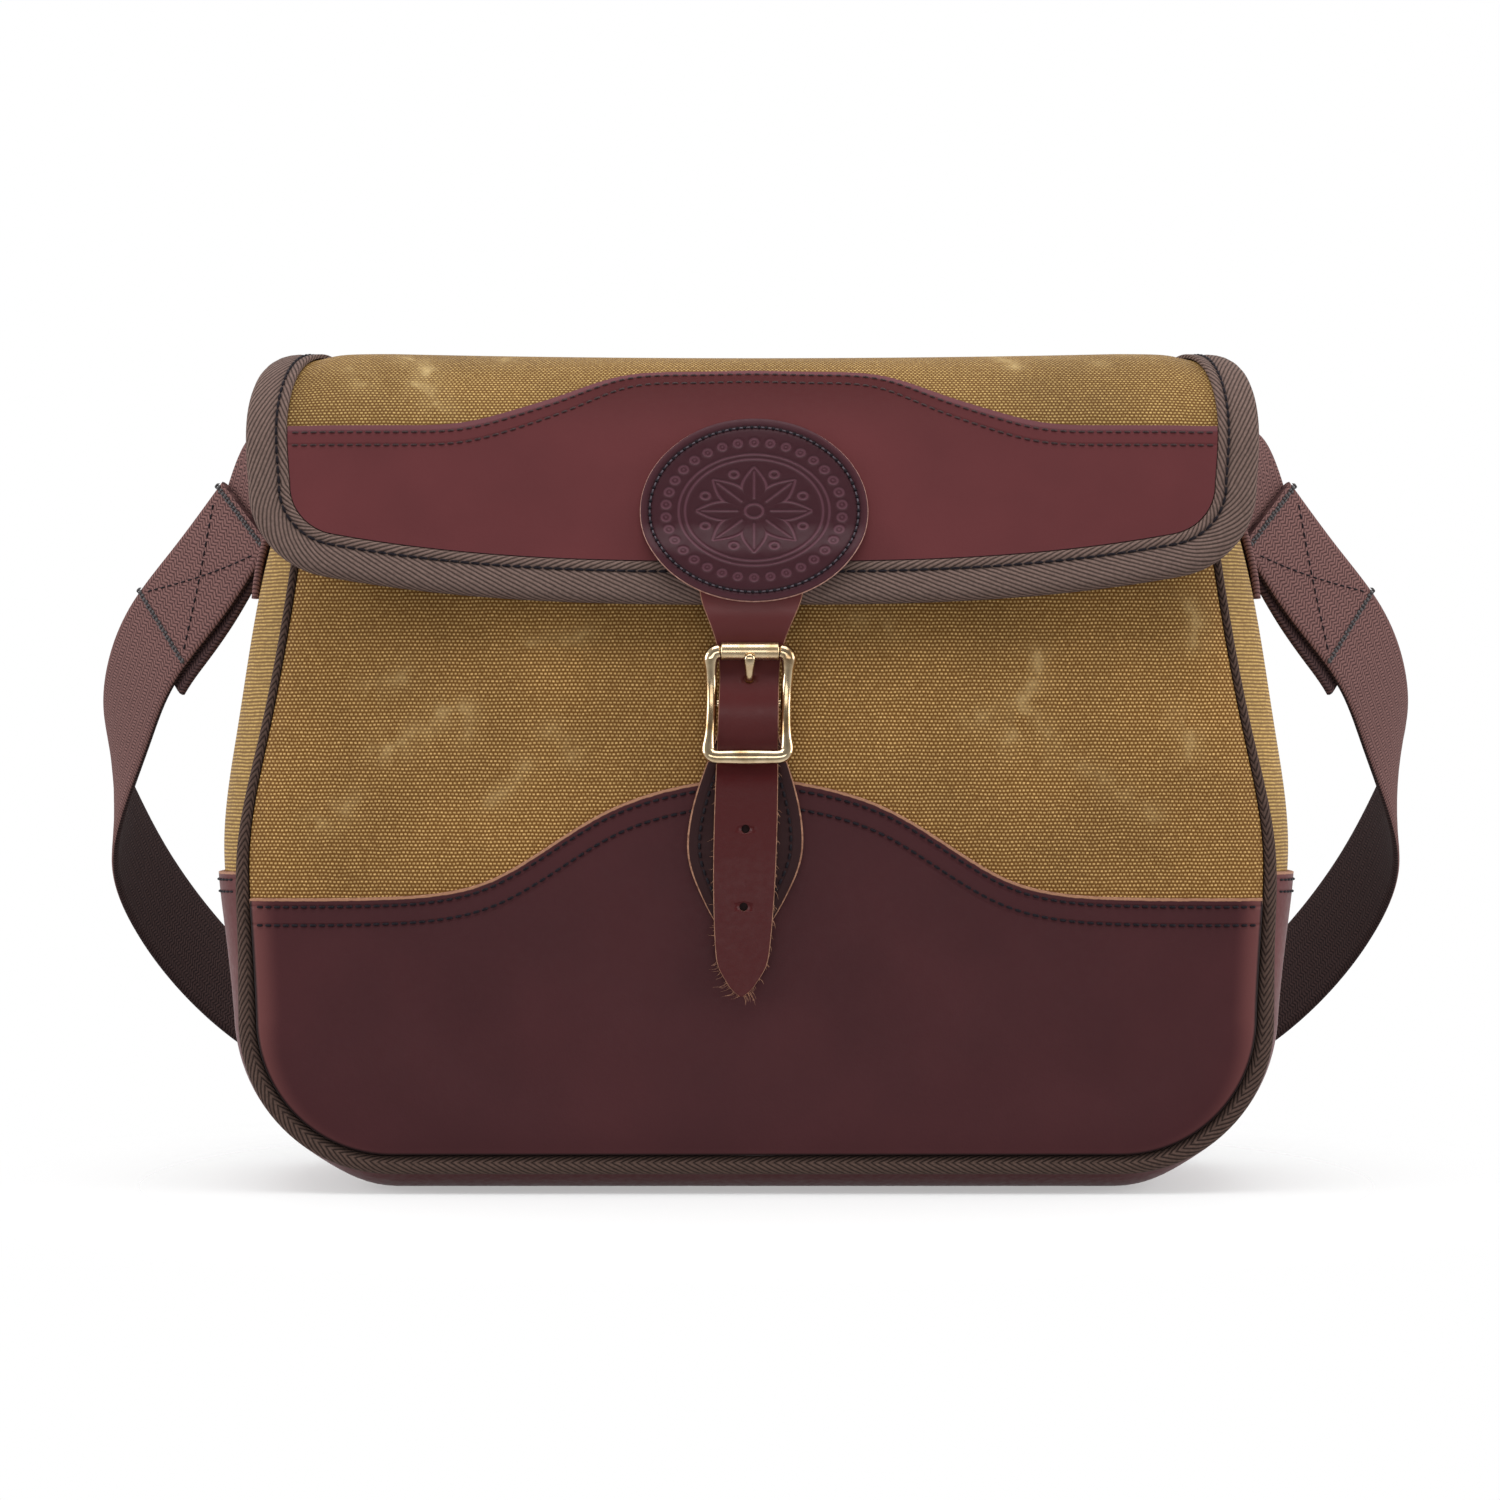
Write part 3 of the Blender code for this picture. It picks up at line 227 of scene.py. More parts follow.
def spline(knots, values, where):
    """Natural cubic curve through a table's rows: its second slopes solve one linear system."""
    knots = np.asarray(knots, float)
    values = np.asarray(values, float).reshape(len(knots), -1)
    where = np.asarray(where, float)
    step = np.diff(knots)
    rise = np.diff(values, axis=0) / step[:, None]
    system = np.eye(len(knots))
    bend = np.zeros_like(values)
    for row in range(1, len(knots) - 1):
        system[row, row - 1:row + 2] = (step[row - 1], 2 * (step[row - 1] + step[row]), step[row])
        bend[row] = 6 * (rise[row] - rise[row - 1])
    bend = np.linalg.solve(system, bend)
    cell = np.clip(np.searchsorted(knots, where, side="right") - 1, 0, len(step) - 1)
    after = (where - knots[cell])[..., None]
    length = step[cell][..., None]
    slope = rise[cell] - length * (2 * bend[cell] + bend[cell + 1]) / 6
    turn = (bend[cell + 1] - bend[cell]) / (6 * length)
    curve = values[cell] + after * (slope + after * (bend[cell] / 2 + after * turn))
    return curve[..., 0] if values.shape[1] == 1 else curve


def read_table(table, where):
    """Smooth value of a two-column table, held at its last value outside it."""
    table = np.array(table)
    return spline(table[:, 0], table[:, 1], np.clip(where, table[0, 0], table[-1, 0]))


def read_even_table(table, where):
    """Smooth value of a table of one half, mirrored so that its middle is level."""
    table = np.array(table)
    return read_table(np.concatenate([table[:0:-1] * (-1, 1), table]), where)


def smooth_step(low, high, value):
    """Share from 0 at low to 1 at high, level at both: three squares less two cubes."""
    share = np.clip((value - low) / (high - low), 0, 1)
    return share * share * (3 - 2 * share)


def edge_dense(count):
    """Shares from -1 to 1, closer together at both ends: part even, part the sine of an even turn."""
    even = np.linspace(-1, 1, count)
    return EVEN_SHARE * even + (1 - EVEN_SHARE) * np.sin(even * np.pi / 2)


def unit(vectors):
    """The same directions with a length of one."""
    return vectors / np.linalg.norm(vectors, axis=-1, keepdims=True)


def seam_depth(z):
    """Half depth of the bag at the seams: a straight taper."""
    return HALF_DEPTH_BOTTOM + HALF_DEPTH_SLOPE * (z - SEAM_BOTTOM)


def seam_inset(z):
    """How far the cut edges beside a seam stay from the middle of its piping."""
    return read_table(PIPING_RADIUS, z) + PIPING_CLEARANCE


def seam_width(z, inset=0.0):
    """Half width inside the seam: an arc round each bottom corner, then the side's curve."""
    radius = CORNER_RADIUS - inset
    drop = np.clip(CORNER_Z - z, 0, radius)
    corner = CORNER_X + np.sqrt(radius ** 2 - drop ** 2)
    return np.where(z < CORNER_Z, corner, read_table(SEAM_SIDE, z) - inset)


def seam_distance(x, z):
    """Distance in from the seam, measured from the corner's centre where the seam is round."""
    straight = np.minimum(seam_width(z) - np.abs(x), z - SEAM_BOTTOM)
    corner = CORNER_RADIUS - np.hypot(np.abs(x) - CORNER_X, CORNER_Z - z)
    distance = np.where((np.abs(x) > CORNER_X) & (z < CORNER_Z), corner, straight)
    return np.clip(distance, 0, None)


def crown(x, z):
    """Share of a panel's fullness: one at mid width, falling to nothing at the seams."""
    return 1 - np.clip(np.abs(x) / seam_width(z), 0, 1) ** PILLOW_POWER


def unevenness(across, along, table):
    """Sum of products of two sine waves, one across and one along, with the table's sizes."""
    return sum(rise * np.sin(2 * np.pi * across / wide + start) * np.sin(2 * np.pi * along / tall + 2 * start)
               for wide, tall, start, rise in table)


def front_at(x, z, out):
    """Point of the front: the seam's depth, its roll away from the seam, the pillow, and unevenness
    that fades at the seams and behind the closure."""
    distance = seam_distance(x, z)
    roll = ROLL_DEPTH * (1 - np.exp(-distance / ROLL_LENGTH))
    beside_closure = smooth_step(CLOSURE_HALF_WIDTH, 2 * CLOSURE_HALF_WIDTH, np.abs(x))
    free = smooth_step(*UNEVEN_FADE, distance) * beside_closure
    depth = seam_depth(z) + roll + read_table(FRONT_PILLOW, z) * crown(x, z) + out
    return join(x, -depth - free * unevenness(x, z, FRONT_UNEVEN), z)


def crease_marks(across, along, creases):
    """Strength of the pale marks at each point: a bell with a soft foot round each mark's line, which
    has one bow to the side. The strongest mark counts."""
    mark = np.zeros(np.broadcast(across, along).shape)
    for start, end, strength in creases:
        run = np.subtract(end, start)
        share = ((across - start[0]) * run[0] + (along - start[1]) * run[1]) / run.dot(run)
        share = np.clip(share, 0, 1)
        bow = CREASE_BOW * np.sin(np.pi * share)
        near = np.hypot(across - start[0] - share * run[0] - bow, along - start[1] - share * run[1])
        core = np.exp(-(near / CREASE_HALF_WIDTH) ** 2)
        halo = np.exp(-(near / CREASE_HALO) ** 2)
        mark = np.maximum(mark, strength * (core + HALO_SHARE * halo) / (1 + HALO_SHARE))
    return mark


def new_piece(name, points, faces, cloth, materials, kinds=None):
    """Make a mesh from points in millimetres, faces with the cloth value of every corner, and the
    material number of each face. All faces are turned outward."""
    mesh = bpy.data.meshes.new(name)
    mesh.from_pydata(((points - (0, 0, DRAWING_FOOT)) * MM).tolist(), [], faces)
    corners = mesh.attributes.new("cloth", "FLOAT_VECTOR", "CORNER")
    corners.data.foreach_set("vector", np.ascontiguousarray(cloth, np.float32).ravel())
    for material in materials:
        mesh.materials.append(material)
    if kinds is not None:
        mesh.polygons.foreach_set("material_index", np.asarray(kinds, np.int32))
    body = bmesh.new()
    body.from_mesh(mesh)
    bmesh.ops.recalc_face_normals(body, faces=body.faces)
    body.to_mesh(mesh)
    body.free()
    mesh.shade_smooth()
    mesh.set_sharp_from_angle(angle=np.radians(SHARP_ANGLE))
    piece = bpy.data.objects.new(name, mesh)
    bpy.context.scene.collection.objects.link(piece)
    return piece


def cells(index):
    """The four point numbers of every cell of a grid of point numbers."""
    quads = join(index[:-1, :-1], index[1:, :-1], index[1:, 1:], index[:-1, 1:])
    return quads.reshape(-1, 4)


def new_wall(name, outer, inner, cloth, materials, round_out=RIM_ROUND_OUT):
    """Solid sheet between an outer and an inner grid of points. The rim is a half round: its points go
    straight from edge to edge, pushed away from the sheet by a sine."""
    rows, columns = outer.shape[:2]
    grid = np.arange(rows * columns).reshape(rows, columns)
    rim = np.concatenate([grid[0, :-1], grid[:-1, -1], grid[-1, :0:-1], grid[:0:-1, 0]])
    beside = np.concatenate([grid[1, :-1], grid[:-1, -2], grid[-2, :0:-1], grid[:0:-1, 1]])
    outer = outer.reshape(-1, 3)
    inner = inner.reshape(-1, 3)
    away = unit(outer[rim] - outer[beside])
    share = np.array(RIM_SHARES)[:, None, None]
    bulge = outer[rim] + share * (inner[rim] - outer[rim]) + round_out * np.sin(np.pi * share) * away
    points = np.concatenate([outer, inner, bulge.reshape(-1, 3)])
    ring = np.arange(3 * len(rim)).reshape(3, len(rim)) + 2 * rows * columns
    band = np.concatenate([rim[None], ring, rim[None] + rows * columns])
    band = np.concatenate([band, band[:, :1]], axis=1)
    source = np.concatenate([grid.ravel(), grid.ravel(), np.tile(rim, 3)])
    faces = np.concatenate([cells(grid), cells(grid + rows * columns), cells(band)])
    kinds = np.repeat([0, len(materials) - 1], [2 * (rows - 1) * (columns - 1), 4 * len(rim)])
    corners = cloth.reshape(-1, 3)[source[faces]]
    return new_piece(name, points, faces.tolist(), corners, materials, kinds)


def dress(piece, material_slot, *nodes):
    """The piece moves with the bag and stands for its plain solids. Its material slot is not used."""
    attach(piece, "root")
    if nodes:
        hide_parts(*nodes)
    return piece


def waxed_canvas(name, thread, light_thread, wax, shine=0.15, ribbed=False):
    """Waxed cotton duck, plain weave: rows of small pale floats in a darker ground, a dull wax gloss,
    cloudy wax and pale creases. Where the cloth is seen along its rows, they show as level ribs. The
    third cloth value is the strength of the crease."""
    material, tree, shader = new_material(name)
    cloth = add_node(tree, "ShaderNodeAttribute", {"attribute_name": "cloth"})
    place = add_node(tree, "ShaderNodeTexCoord").outputs["Object"]
    wander = add_node(tree, "ShaderNodeTexNoise", None, {"Vector": place, "Scale": 140.0, "Detail": 2.0})
    drift = add_node(tree, "ShaderNodeVectorMath", {"operation": "MULTIPLY_ADD"},
                     {0: wander.outputs["Color"], 1: (1.1, 0.7, 0.0), 2: cloth.outputs["Vector"]})
    thread_place = add_node(tree, "ShaderNodeSeparateXYZ", None, {0: drift})
    waves = []
    for axis, pitch in (("X", FLOAT_ACROSS), ("Y", FLOAT_ALONG)):
        turn = add_node(tree, "ShaderNodeMath", {"operation": "MULTIPLY"},
                        {0: thread_place.outputs[axis], 1: np.pi / pitch})
        waves.append(add_node(tree, "ShaderNodeMath", {"operation": "SINE"}, {0: turn}))
    row = add_node(tree, "ShaderNodeMath", {"operation": "ABSOLUTE"}, {0: waves[1]})
    floats = add_node(tree, "ShaderNodeMath", {"operation": "POWER"}, {0: row, 1: FLOAT_FLATNESS})
    if not ribbed:
        side = add_node(tree, "ShaderNodeMath", {"operation": "SIGN"}, {0: waves[1]})
        shift = add_node(tree, "ShaderNodeMath", {"operation": "MULTIPLY"}, {0: waves[0], 1: side})
        span = add_node(tree, "ShaderNodeMapRange", {"interpolation_type": "SMOOTHSTEP"},
                        {"Value": shift, "From Min": -0.85, "From Max": 0.4, "To Min": 0.05})
        floats = add_node(tree, "ShaderNodeMath", {"operation": "MULTIPLY"}, {0: floats, 1: span})
    uneven = add_node(tree, "ShaderNodeTexNoise", None, {"Vector": place, "Scale": 900.0, "Detail": 1.0})
    uneven_level = add_node(tree, "ShaderNodeMapRange", None,
                            {"Value": uneven, "From Min": 0.3, "From Max": 0.7, "To Min": 0.45,
                             "To Max": 1.1})
    shown = add_node(tree, "ShaderNodeMath", {"operation": "MULTIPLY"}, {0: floats, 1: uneven_level})
    woven = add_node(tree, "ShaderNodeMix", {"data_type": "RGBA"},
                     {0: shown, 6: linear(thread), 7: linear(light_thread)})
    cloud = add_node(tree, "ShaderNodeTexNoise", None, {"Vector": place, "Scale": 22.0, "Detail": 4.0})
    cloud_level = add_node(tree, "ShaderNodeMapRange", None,
                           {"Value": cloud, "From Min": 0.3, "From Max": 0.7, "To Min": 0.86, "To Max": 1.12})
    clouded = add_node(tree, "ShaderNodeVectorMath", {"operation": "SCALE"},
                       {0: woven.outputs[2], "Scale": cloud_level})
    crease = add_node(tree, "ShaderNodeSeparateXYZ", None, {0: cloth.outputs["Vector"]}).outputs["Z"]
    ragged = add_node(tree, "ShaderNodeTexNoise", None, {"Vector": place, "Scale": 160.0, "Detail": 3.0})
    ragged_level = add_node(tree, "ShaderNodeMapRange", None,
                            {"Value": ragged, "From Min": 0.35, "From Max": 0.6, "To Max": 0.95})
    pale = add_node(tree, "ShaderNodeMath", {"operation": "MULTIPLY"}, {0: crease, 1: ragged_level})
    colour = add_node(tree, "ShaderNodeMix", {"data_type": "RGBA"}, {0: pale, 6: clouded, 7: linear(wax)})
    tree.links.new(colour.outputs[2], shader.inputs["Base Color"])
    bump = add_node(tree, "ShaderNodeBump", None, {"Height": floats, "Distance": 0.16 * MM, "Strength": 0.8})
    tree.links.new(bump.outputs[0], shader.inputs["Normal"])
    shader.inputs["Roughness"].default_value = 0.62
    shader.inputs["Specular IOR Level"].default_value = shine
    return material


front_canvas_finish = waxed_canvas("waxed_duck_front", "#6E481B", "#E5BC79", "#C2A36E")
front_share = edge_dense(FRONT_COLUMNS)[None, :]
wave_x = front_share * seam_width(CORNER_Z + WAVE_RISE)
front_wave = read_even_table(LEATHER_WAVE, wave_x - WAVE_MIDDLE_X)
front_rise = np.linspace(0, 1, FRONT_ROWS)[:, None]
front_z = front_wave - LAP + front_rise * (FRONT_TOP - front_wave + LAP)
front_x = front_share * seam_width(front_z, seam_inset(front_z))
front_cloth = join(front_x, front_z, crease_marks(front_x, front_z, FRONT_CREASES))
front_canvas = new_wall("front_canvas_cloth", front_at(front_x, front_z, 0.0),
                        front_at(front_x, front_z, -CANVAS), front_cloth, [front_canvas_finish])
dress(front_canvas, "waxed_canvas", "front_canvas")


# Front leather: a panel of oiled harness leather, dark oxblood, 1.8 mm thick, lapped over the canvas.
# Its waved top edge is left raw, so the tan fibre shows as a thin line, and two rows of dark thread
# run along it. Beside the seams its colour has a painted highlight where it rolls into the seam, and
# painted shade at the cut edge.
LEATHER = 1.8
LEATHER_ROWS = (2.5, 8.3)
# Height over the round corners at which the rows' length is taken, and how far short of it they end
LEATHER_ROW_RISE = 38.0
LEATHER_ROW_END = 1.2
ROW_POINTS = 500
# Tints, each as the distances from an edge at which it is full and gone
RAW_LINE = (0.2, 0.5)
# Painted shade on a raw edge that lies beside a seam
RAW_SEAM_SHADE = (2.0, 0.5)
# Painted shade on the face at the cut edge beside a seam, and a painted highlight a little further in, where
# the panel rolls into the seam
SEAM_SHADE = (0.1, 1.0)
SIDE_PAINTED_HIGHLIGHT = (0.8, 8.8)
CORNER_DIM = 0.15
STITCH_PITCH = 2.9
STITCH_RADIUS = 0.42
STITCH_SHARE = 0.82
STITCH_SIDES = 6
STITCH_RINGS = 7
STITCH_LOOK = 0.3
# Shares of its radius by which a stitch's middle stands up, and by which its ends are lower
STITCH_RISE = 0.55
STITCH_DIVE = 1.3


def tinted(tree, colour, value, full, gone, tint):
    """Mix a tint into a colour: all of it where a value is at full, none where it is at gone."""
    share = add_node(tree, "ShaderNodeMapRange", {"interpolation_type": "SMOOTHSTEP"},
                     {"Value": value, "From Min": full, "From Max": gone, "To Min": 1.0, "To Max": 0.0})
    return add_node(tree, "ShaderNodeMix", {"data_type": "RGBA"},
                    {0: share, 6: colour, 7: linear(tint)}).outputs[2]


def oiled_leather(name, base, deep, rows=(), gloss=0.46, shine=0.1, raw=None, tints=()):
    """Smooth oiled cowhide: an uneven dark stain, fine pores, and a soft groove pressed by each row of
    stitches. The third cloth value is the distance from the edge that the rows follow. A raw colour shows
    in a thin ragged line along that edge. A tint is a cloth value, where its colour is full, where it has
    gone, and the colour."""
    material, tree, shader = new_material(name)
    place = add_node(tree, "ShaderNodeTexCoord").outputs["Object"]
    stain = add_node(tree, "ShaderNodeTexNoise", None, {"Vector": place, "Scale": 30.0, "Detail": 5.0})
    stain_level = add_node(tree, "ShaderNodeMapRange", None,
                           {"Value": stain, "From Min": 0.3, "From Max": 0.7})
    colour = add_node(tree, "ShaderNodeMix", {"data_type": "RGBA"},
                      {0: stain_level, 6: linear(deep), 7: linear(base)}).outputs[2]
    pores = add_node(tree, "ShaderNodeTexVoronoi", {"feature": "SMOOTH_F1"},
                     {"Vector": place, "Scale": 1300.0})
    grain = add_node(tree, "ShaderNodeTexNoise", None, {"Vector": place, "Scale": 500.0, "Detail": 3.0})
    height = add_node(tree, "ShaderNodeMath", {"operation": "MULTIPLY_ADD"}, {0: pores, 1: 0.5, 2: grain})
    cloth = add_node(tree, "ShaderNodeAttribute", {"attribute_name": "cloth"})
    values = add_node(tree, "ShaderNodeSeparateXYZ", None, {0: cloth.outputs["Vector"]}).outputs
    edge = values["Z"]
    for value, full, gone, tint in tints:
        colour = tinted(tree, colour, values[value], full, gone, tint)
    if raw:
        ragged = add_node(tree, "ShaderNodeMath", {"operation": "MULTIPLY_ADD"}, {0: grain, 1: -0.5, 2: edge})
        colour = tinted(tree, colour, ragged, *RAW_LINE, raw)
    for row in rows:
        near = add_node(tree, "ShaderNodeMath", {"operation": "SUBTRACT"}, {0: edge, 1: row})
        near = add_node(tree, "ShaderNodeMath", {"operation": "ABSOLUTE"}, {0: near})
        groove = add_node(tree, "ShaderNodeMapRange", {"interpolation_type": "SMOOTHSTEP"},
                          {"Value": near, "From Min": 0.1, "From Max": 0.9, "To Min": -4.5, "To Max": 0.0})
        height = add_node(tree, "ShaderNodeMath", {"operation": "ADD"}, {0: height, 1: groove})
    tree.links.new(colour, shader.inputs["Base Color"])
    bump = add_node(tree, "ShaderNodeBump", None, {"Height": height, "Distance": 0.05 * MM, "Strength": 0.7})
    tree.links.new(bump.outputs[0], shader.inputs["Normal"])
    rough = add_node(tree, "ShaderNodeMapRange", None,
                     {"Value": grain, "From Min": 0.3, "From Max": 0.7, "To Min": gloss - 0.05,
                      "To Max": gloss + 0.08})
    tree.links.new(rough.outputs[0], shader.inputs["Roughness"])
    shader.inputs["Specular IOR Level"].default_value = shine
    return material


def raw_edge(name, pale, dark, seam=None):
    """Cut edge of leather: fuzzy tan fibre, lighter than the stained face and quite dull. Beside a seam,
    where the third cloth value is past two millimetres, it takes painted shade in the seam's dark colour."""
    material, tree, shader = new_material(name)
    place = add_node(tree, "ShaderNodeTexCoord").outputs["Object"]
    fibre = add_node(tree, "ShaderNodeTexNoise", None, {"Vector": place, "Scale": 700.0, "Detail": 4.0})
    fibre_level = add_node(tree, "ShaderNodeMapRange", None,
                           {"Value": fibre, "From Min": 0.35, "From Max": 0.65})
    colour = add_node(tree, "ShaderNodeMix", {"data_type": "RGBA"},
                      {0: fibre_level, 6: linear(dark), 7: linear(pale)}).outputs[2]
    # Painted shade: beside a seam the cut edge is coloured dark
    if seam:
        cloth = add_node(tree, "ShaderNodeAttribute", {"attribute_name": "cloth"})
        edge = add_node(tree, "ShaderNodeSeparateXYZ", None, {0: cloth.outputs["Vector"]}).outputs["Z"]
        colour = tinted(tree, colour, edge, *RAW_SEAM_SHADE, seam)
    tree.links.new(colour, shader.inputs["Base Color"])
    bump = add_node(tree, "ShaderNodeBump", None, {"Height": fibre, "Distance": 0.2 * MM, "Strength": 0.8})
    tree.links.new(bump.outputs[0], shader.inputs["Normal"])
    shader.inputs["Roughness"].default_value = 0.85
    return material


def waxed_thread(name, colour, light, shine=0.12):
    """Thick waxed polyester thread: dark, with the dull shine of its twisted strands."""
    material, tree, shader = new_material(name)
    place = add_node(tree, "ShaderNodeTexCoord").outputs["Object"]
    twist = add_node(tree, "ShaderNodeTexNoise", None, {"Vector": place, "Scale": 1500.0, "Detail": 1.0})
    mix = add_node(tree, "ShaderNodeMix", {"data_type": "RGBA"},
                   {0: twist, 6: linear(colour), 7: linear(light)})
    tree.links.new(mix.outputs[2], shader.inputs["Base Color"])
    bump = add_node(tree, "ShaderNodeBump", None, {"Height": twist, "Distance": 0.1 * MM, "Strength": 0.6})
    tree.links.new(bump.outputs[0], shader.inputs["Normal"])
    shader.inputs["Roughness"].default_value = 0.55
    shader.inputs["Specular IOR Level"].default_value = shine
    return material


def lengths_along(points):
    """Distance of each point of a line from its first point, along the line."""
    return np.concatenate([(0.0,), np.cumsum(np.linalg.norm(np.diff(points, axis=0), axis=1))])


def read_line(where, reach, rows):
    """Rows of values at some lengths along a line, straight between the rows at the reached lengths."""
    return np.stack([np.interp(where, reach, column) for column in rows.T], axis=-1)


def new_tubes(name, points, sides, material):
    """Many closed tubes in one piece. Each row of points is one tube, ring after ring."""
    index = np.arange(points.shape[1]).reshape(-1, sides)
    skin = cells(np.concatenate([index, index[:, :1]], axis=1))
    ends = np.stack([index[0], index[-1, ::-1]])
    first = (np.arange(len(points)) * points.shape[1])[:, None, None]
    faces = (skin + first).reshape(-1, 4).tolist() + (ends + first).reshape(-1, sides).tolist()
    corner_count = sum(len(face) for face in faces)
    return new_piece(name, points.reshape(-1, 3), faces, np.zeros((corner_count, 3)), [material])


def new_stitches(name, lines, material, pitch=STITCH_PITCH, radius=STITCH_RADIUS, share=STITCH_SHARE):
    """Rows of stitches. Each line is dense points on a surface and the way out of it. A stitch is a
    spindle along the line: its thickness and its height fall with the fourth power of the distance from
    its middle, so both ends dive in."""
    along_base = np.linspace(-0.5, 0.5, STITCH_RINGS)[:, None]
    turn = np.linspace(0, 2 * np.pi, STITCH_SIDES, endpoint=False)
    fall = (2 * along_base) ** 4
    girth = radius * np.sqrt(np.clip(1 - fall, 0.04, None))
    ring_side = (girth * np.cos(turn))[..., None]
    ring_up = (girth * np.sin(turn) + radius * (STITCH_RISE - STITCH_DIVE * fall))[..., None]
    points = []
    for path, out in lines:
        reach = lengths_along(path)
        count = max(1, int(reach[-1] / pitch))
        where = (np.arange(count) + 0.5) * reach[-1] / count
        middle = read_line(where, reach, path)
        ahead = read_line(where + STITCH_LOOK, reach, path)
        along = unit(ahead - read_line(where - STITCH_LOOK, reach, path))
        up = unit(read_line(where, reach, out))
        side = np.cross(along, up)
        ring_along = (share * reach[-1] / count * along_base)[..., None]
        place = (middle[:, None, None] + along[:, None, None] * ring_along
                 + side[:, None, None] * ring_side + up[:, None, None] * ring_up)
        points.append(place.reshape(count, -1, 3))
    return new_tubes(name, np.concatenate(points), STITCH_SIDES, material)


def on_surface(surface, across, along, lift):
    """A line on a surface at a height above it, with the way out of the surface at each point."""
    line = surface(across, along, lift)
    return line, surface(across, along, lift + 1.0) - line


def offset_line(across, along, distance):
    """Move a flat curve sideways: every point goes along the curve's own normal, down for a positive
    distance on a curve that runs to the right."""
    run_across = np.gradient(across)
    run_along = np.gradient(along)
    length = np.hypot(run_across, run_along)
    return across + distance * run_along / length, along - distance * run_across / length


def foot_shares(corner, round_rows, upper_rows):
    """Shares of a panel's height from its foot: round its bottom corners by even turns, then even."""
    turn = np.radians(np.linspace(0, 90, round_rows))
    return np.concatenate([corner * (1 - np.cos(turn)), np.linspace(corner, 1, upper_rows)[1:]])[:, None]


def side_distances(x, z):
    """Distance from the cut edge beside the seam, and the same for the painted side highlight, which
    fades round the bottom corners."""
    cut = seam_distance(x, z) - seam_inset(z)
    return cut, cut + CORNER_DIM * np.clip(CORNER_Z - z, 0, None)


harness_leather = oiled_leather("harness_leather_front", "#492629", "#432326", LEATHER_ROWS, raw="#A97C62",
                                tints=(("Y", *SIDE_PAINTED_HIGHLIGHT, "#693E3D"), ("X", *SEAM_SHADE, "#1C0E0E")))
leather_edge = raw_edge("leather_raw_edge", "#A97C62", "#7E543F")
# Raw edge of a panel, with painted shade where it lies beside a seam
panel_edge = raw_edge("leather_raw_edge_seam_shaded", "#A97C62", "#7E543F", "#1C0E0E")
stitch_thread = waxed_thread("waxed_thread_dark", "#0A080A", "#2A252C")
foot_inset = seam_inset(SEAM_BOTTOM)
leather_foot = SEAM_BOTTOM + foot_inset
corner_share = (CORNER_RADIUS - foot_inset) / (front_wave.min() - leather_foot)
leather_z = leather_foot + foot_shares(corner_share, 31, 32) * (front_wave - leather_foot)
leather_x = front_share * seam_width(leather_z, seam_inset(leather_z))
wave_slope = np.gradient(front_wave[0], wave_x[0])
leather_edge_distance = (front_wave - leather_z) / np.hypot(1, wave_slope)
leather_cloth = join(*side_distances(leather_x, leather_z), leather_edge_distance)
front_leather = new_wall("front_leather_panel", front_at(leather_x, leather_z, GAP + LEATHER),
                         front_at(leather_x, leather_z, GAP), leather_cloth, [harness_leather, panel_edge])
dress(front_leather, "bridle_leather", "front_leather")

row_half = seam_width(CORNER_Z + LEATHER_ROW_RISE) - foot_inset - LEATHER_ROW_END
row_x = np.linspace(-1, 1, ROW_POINTS) * row_half
row_z = read_even_table(LEATHER_WAVE, row_x - WAVE_MIDDLE_X)
leather_lines = []
for row in LEATHER_ROWS:
    line_x, line_z = offset_line(row_x, row_z, row)
    leather_lines.append(on_surface(front_at, line_x, line_z, GAP + LEATHER))
dress(new_stitches("front_leather_stitches", leather_lines, stitch_thread), "bridle_leather")


# Gusset canvas: a strip of the same duck up each side, pushed out by the filling. It is one piece of
# cloth a side, and its floats run level, so from the front it looks ribbed.
GUSSET_FLAT_SHARE = 0.5
GUSSET_ARCH_POWER = 2.2
BOOT_TOP = 105.0
BOOT_ROWS = (2.3, 6.0)
BOOT_ROW_REACH = 0.96
BOOT_ROW_POINTS = 120
# Painted shade toward the floor: distances from the band's top edge at which it is full and gone
BOOT_SHADE = (92.4, 84.0)
# How far the gusset stands out of the seam: height, depth
GUSSET_BULGE = ((12.5, 7.2), (13.4, 6.5), (16.0, 4.9), (22.0, 4.0), (42.0, 4.3), (60.0, 4.9), (80.0, 6.3),
                (105.0, 8.2), (150.0, 11.2), (200.0, 11.5), (214.0, 10.0), (230.0, 7.5), (245.0, 5.0))


def seam_half(bottom_count, corner_count, side_heights):
    """Right half of the seam from the middle of the bottom: a line, a quarter circle, the side."""
    bottom_x = np.linspace(0, CORNER_X, bottom_count)
    turn = np.radians(np.linspace(0, 90, corner_count + 1))[1:]
    side = np.asarray(side_heights, float)
    x = np.concatenate([bottom_x, CORNER_X + CORNER_RADIUS * np.sin(turn), seam_width(side)])
    z = np.concatenate([np.full(bottom_count, SEAM_BOTTOM), CORNER_Z - CORNER_RADIUS * np.cos(turn), side])
    return join(x, z)


def mirrored(path):
    """A right half and its mirror image as one path, from the left end to the right end."""
    return np.concatenate([path[:0:-1] * (-1, 1), path])


def outward_normals(path):
    """Unit normals in the plane of a path that runs left, down, right and up."""
    along = unit(np.gradient(path, axis=0))
    return join(along[:, 1], -along[:, 0])


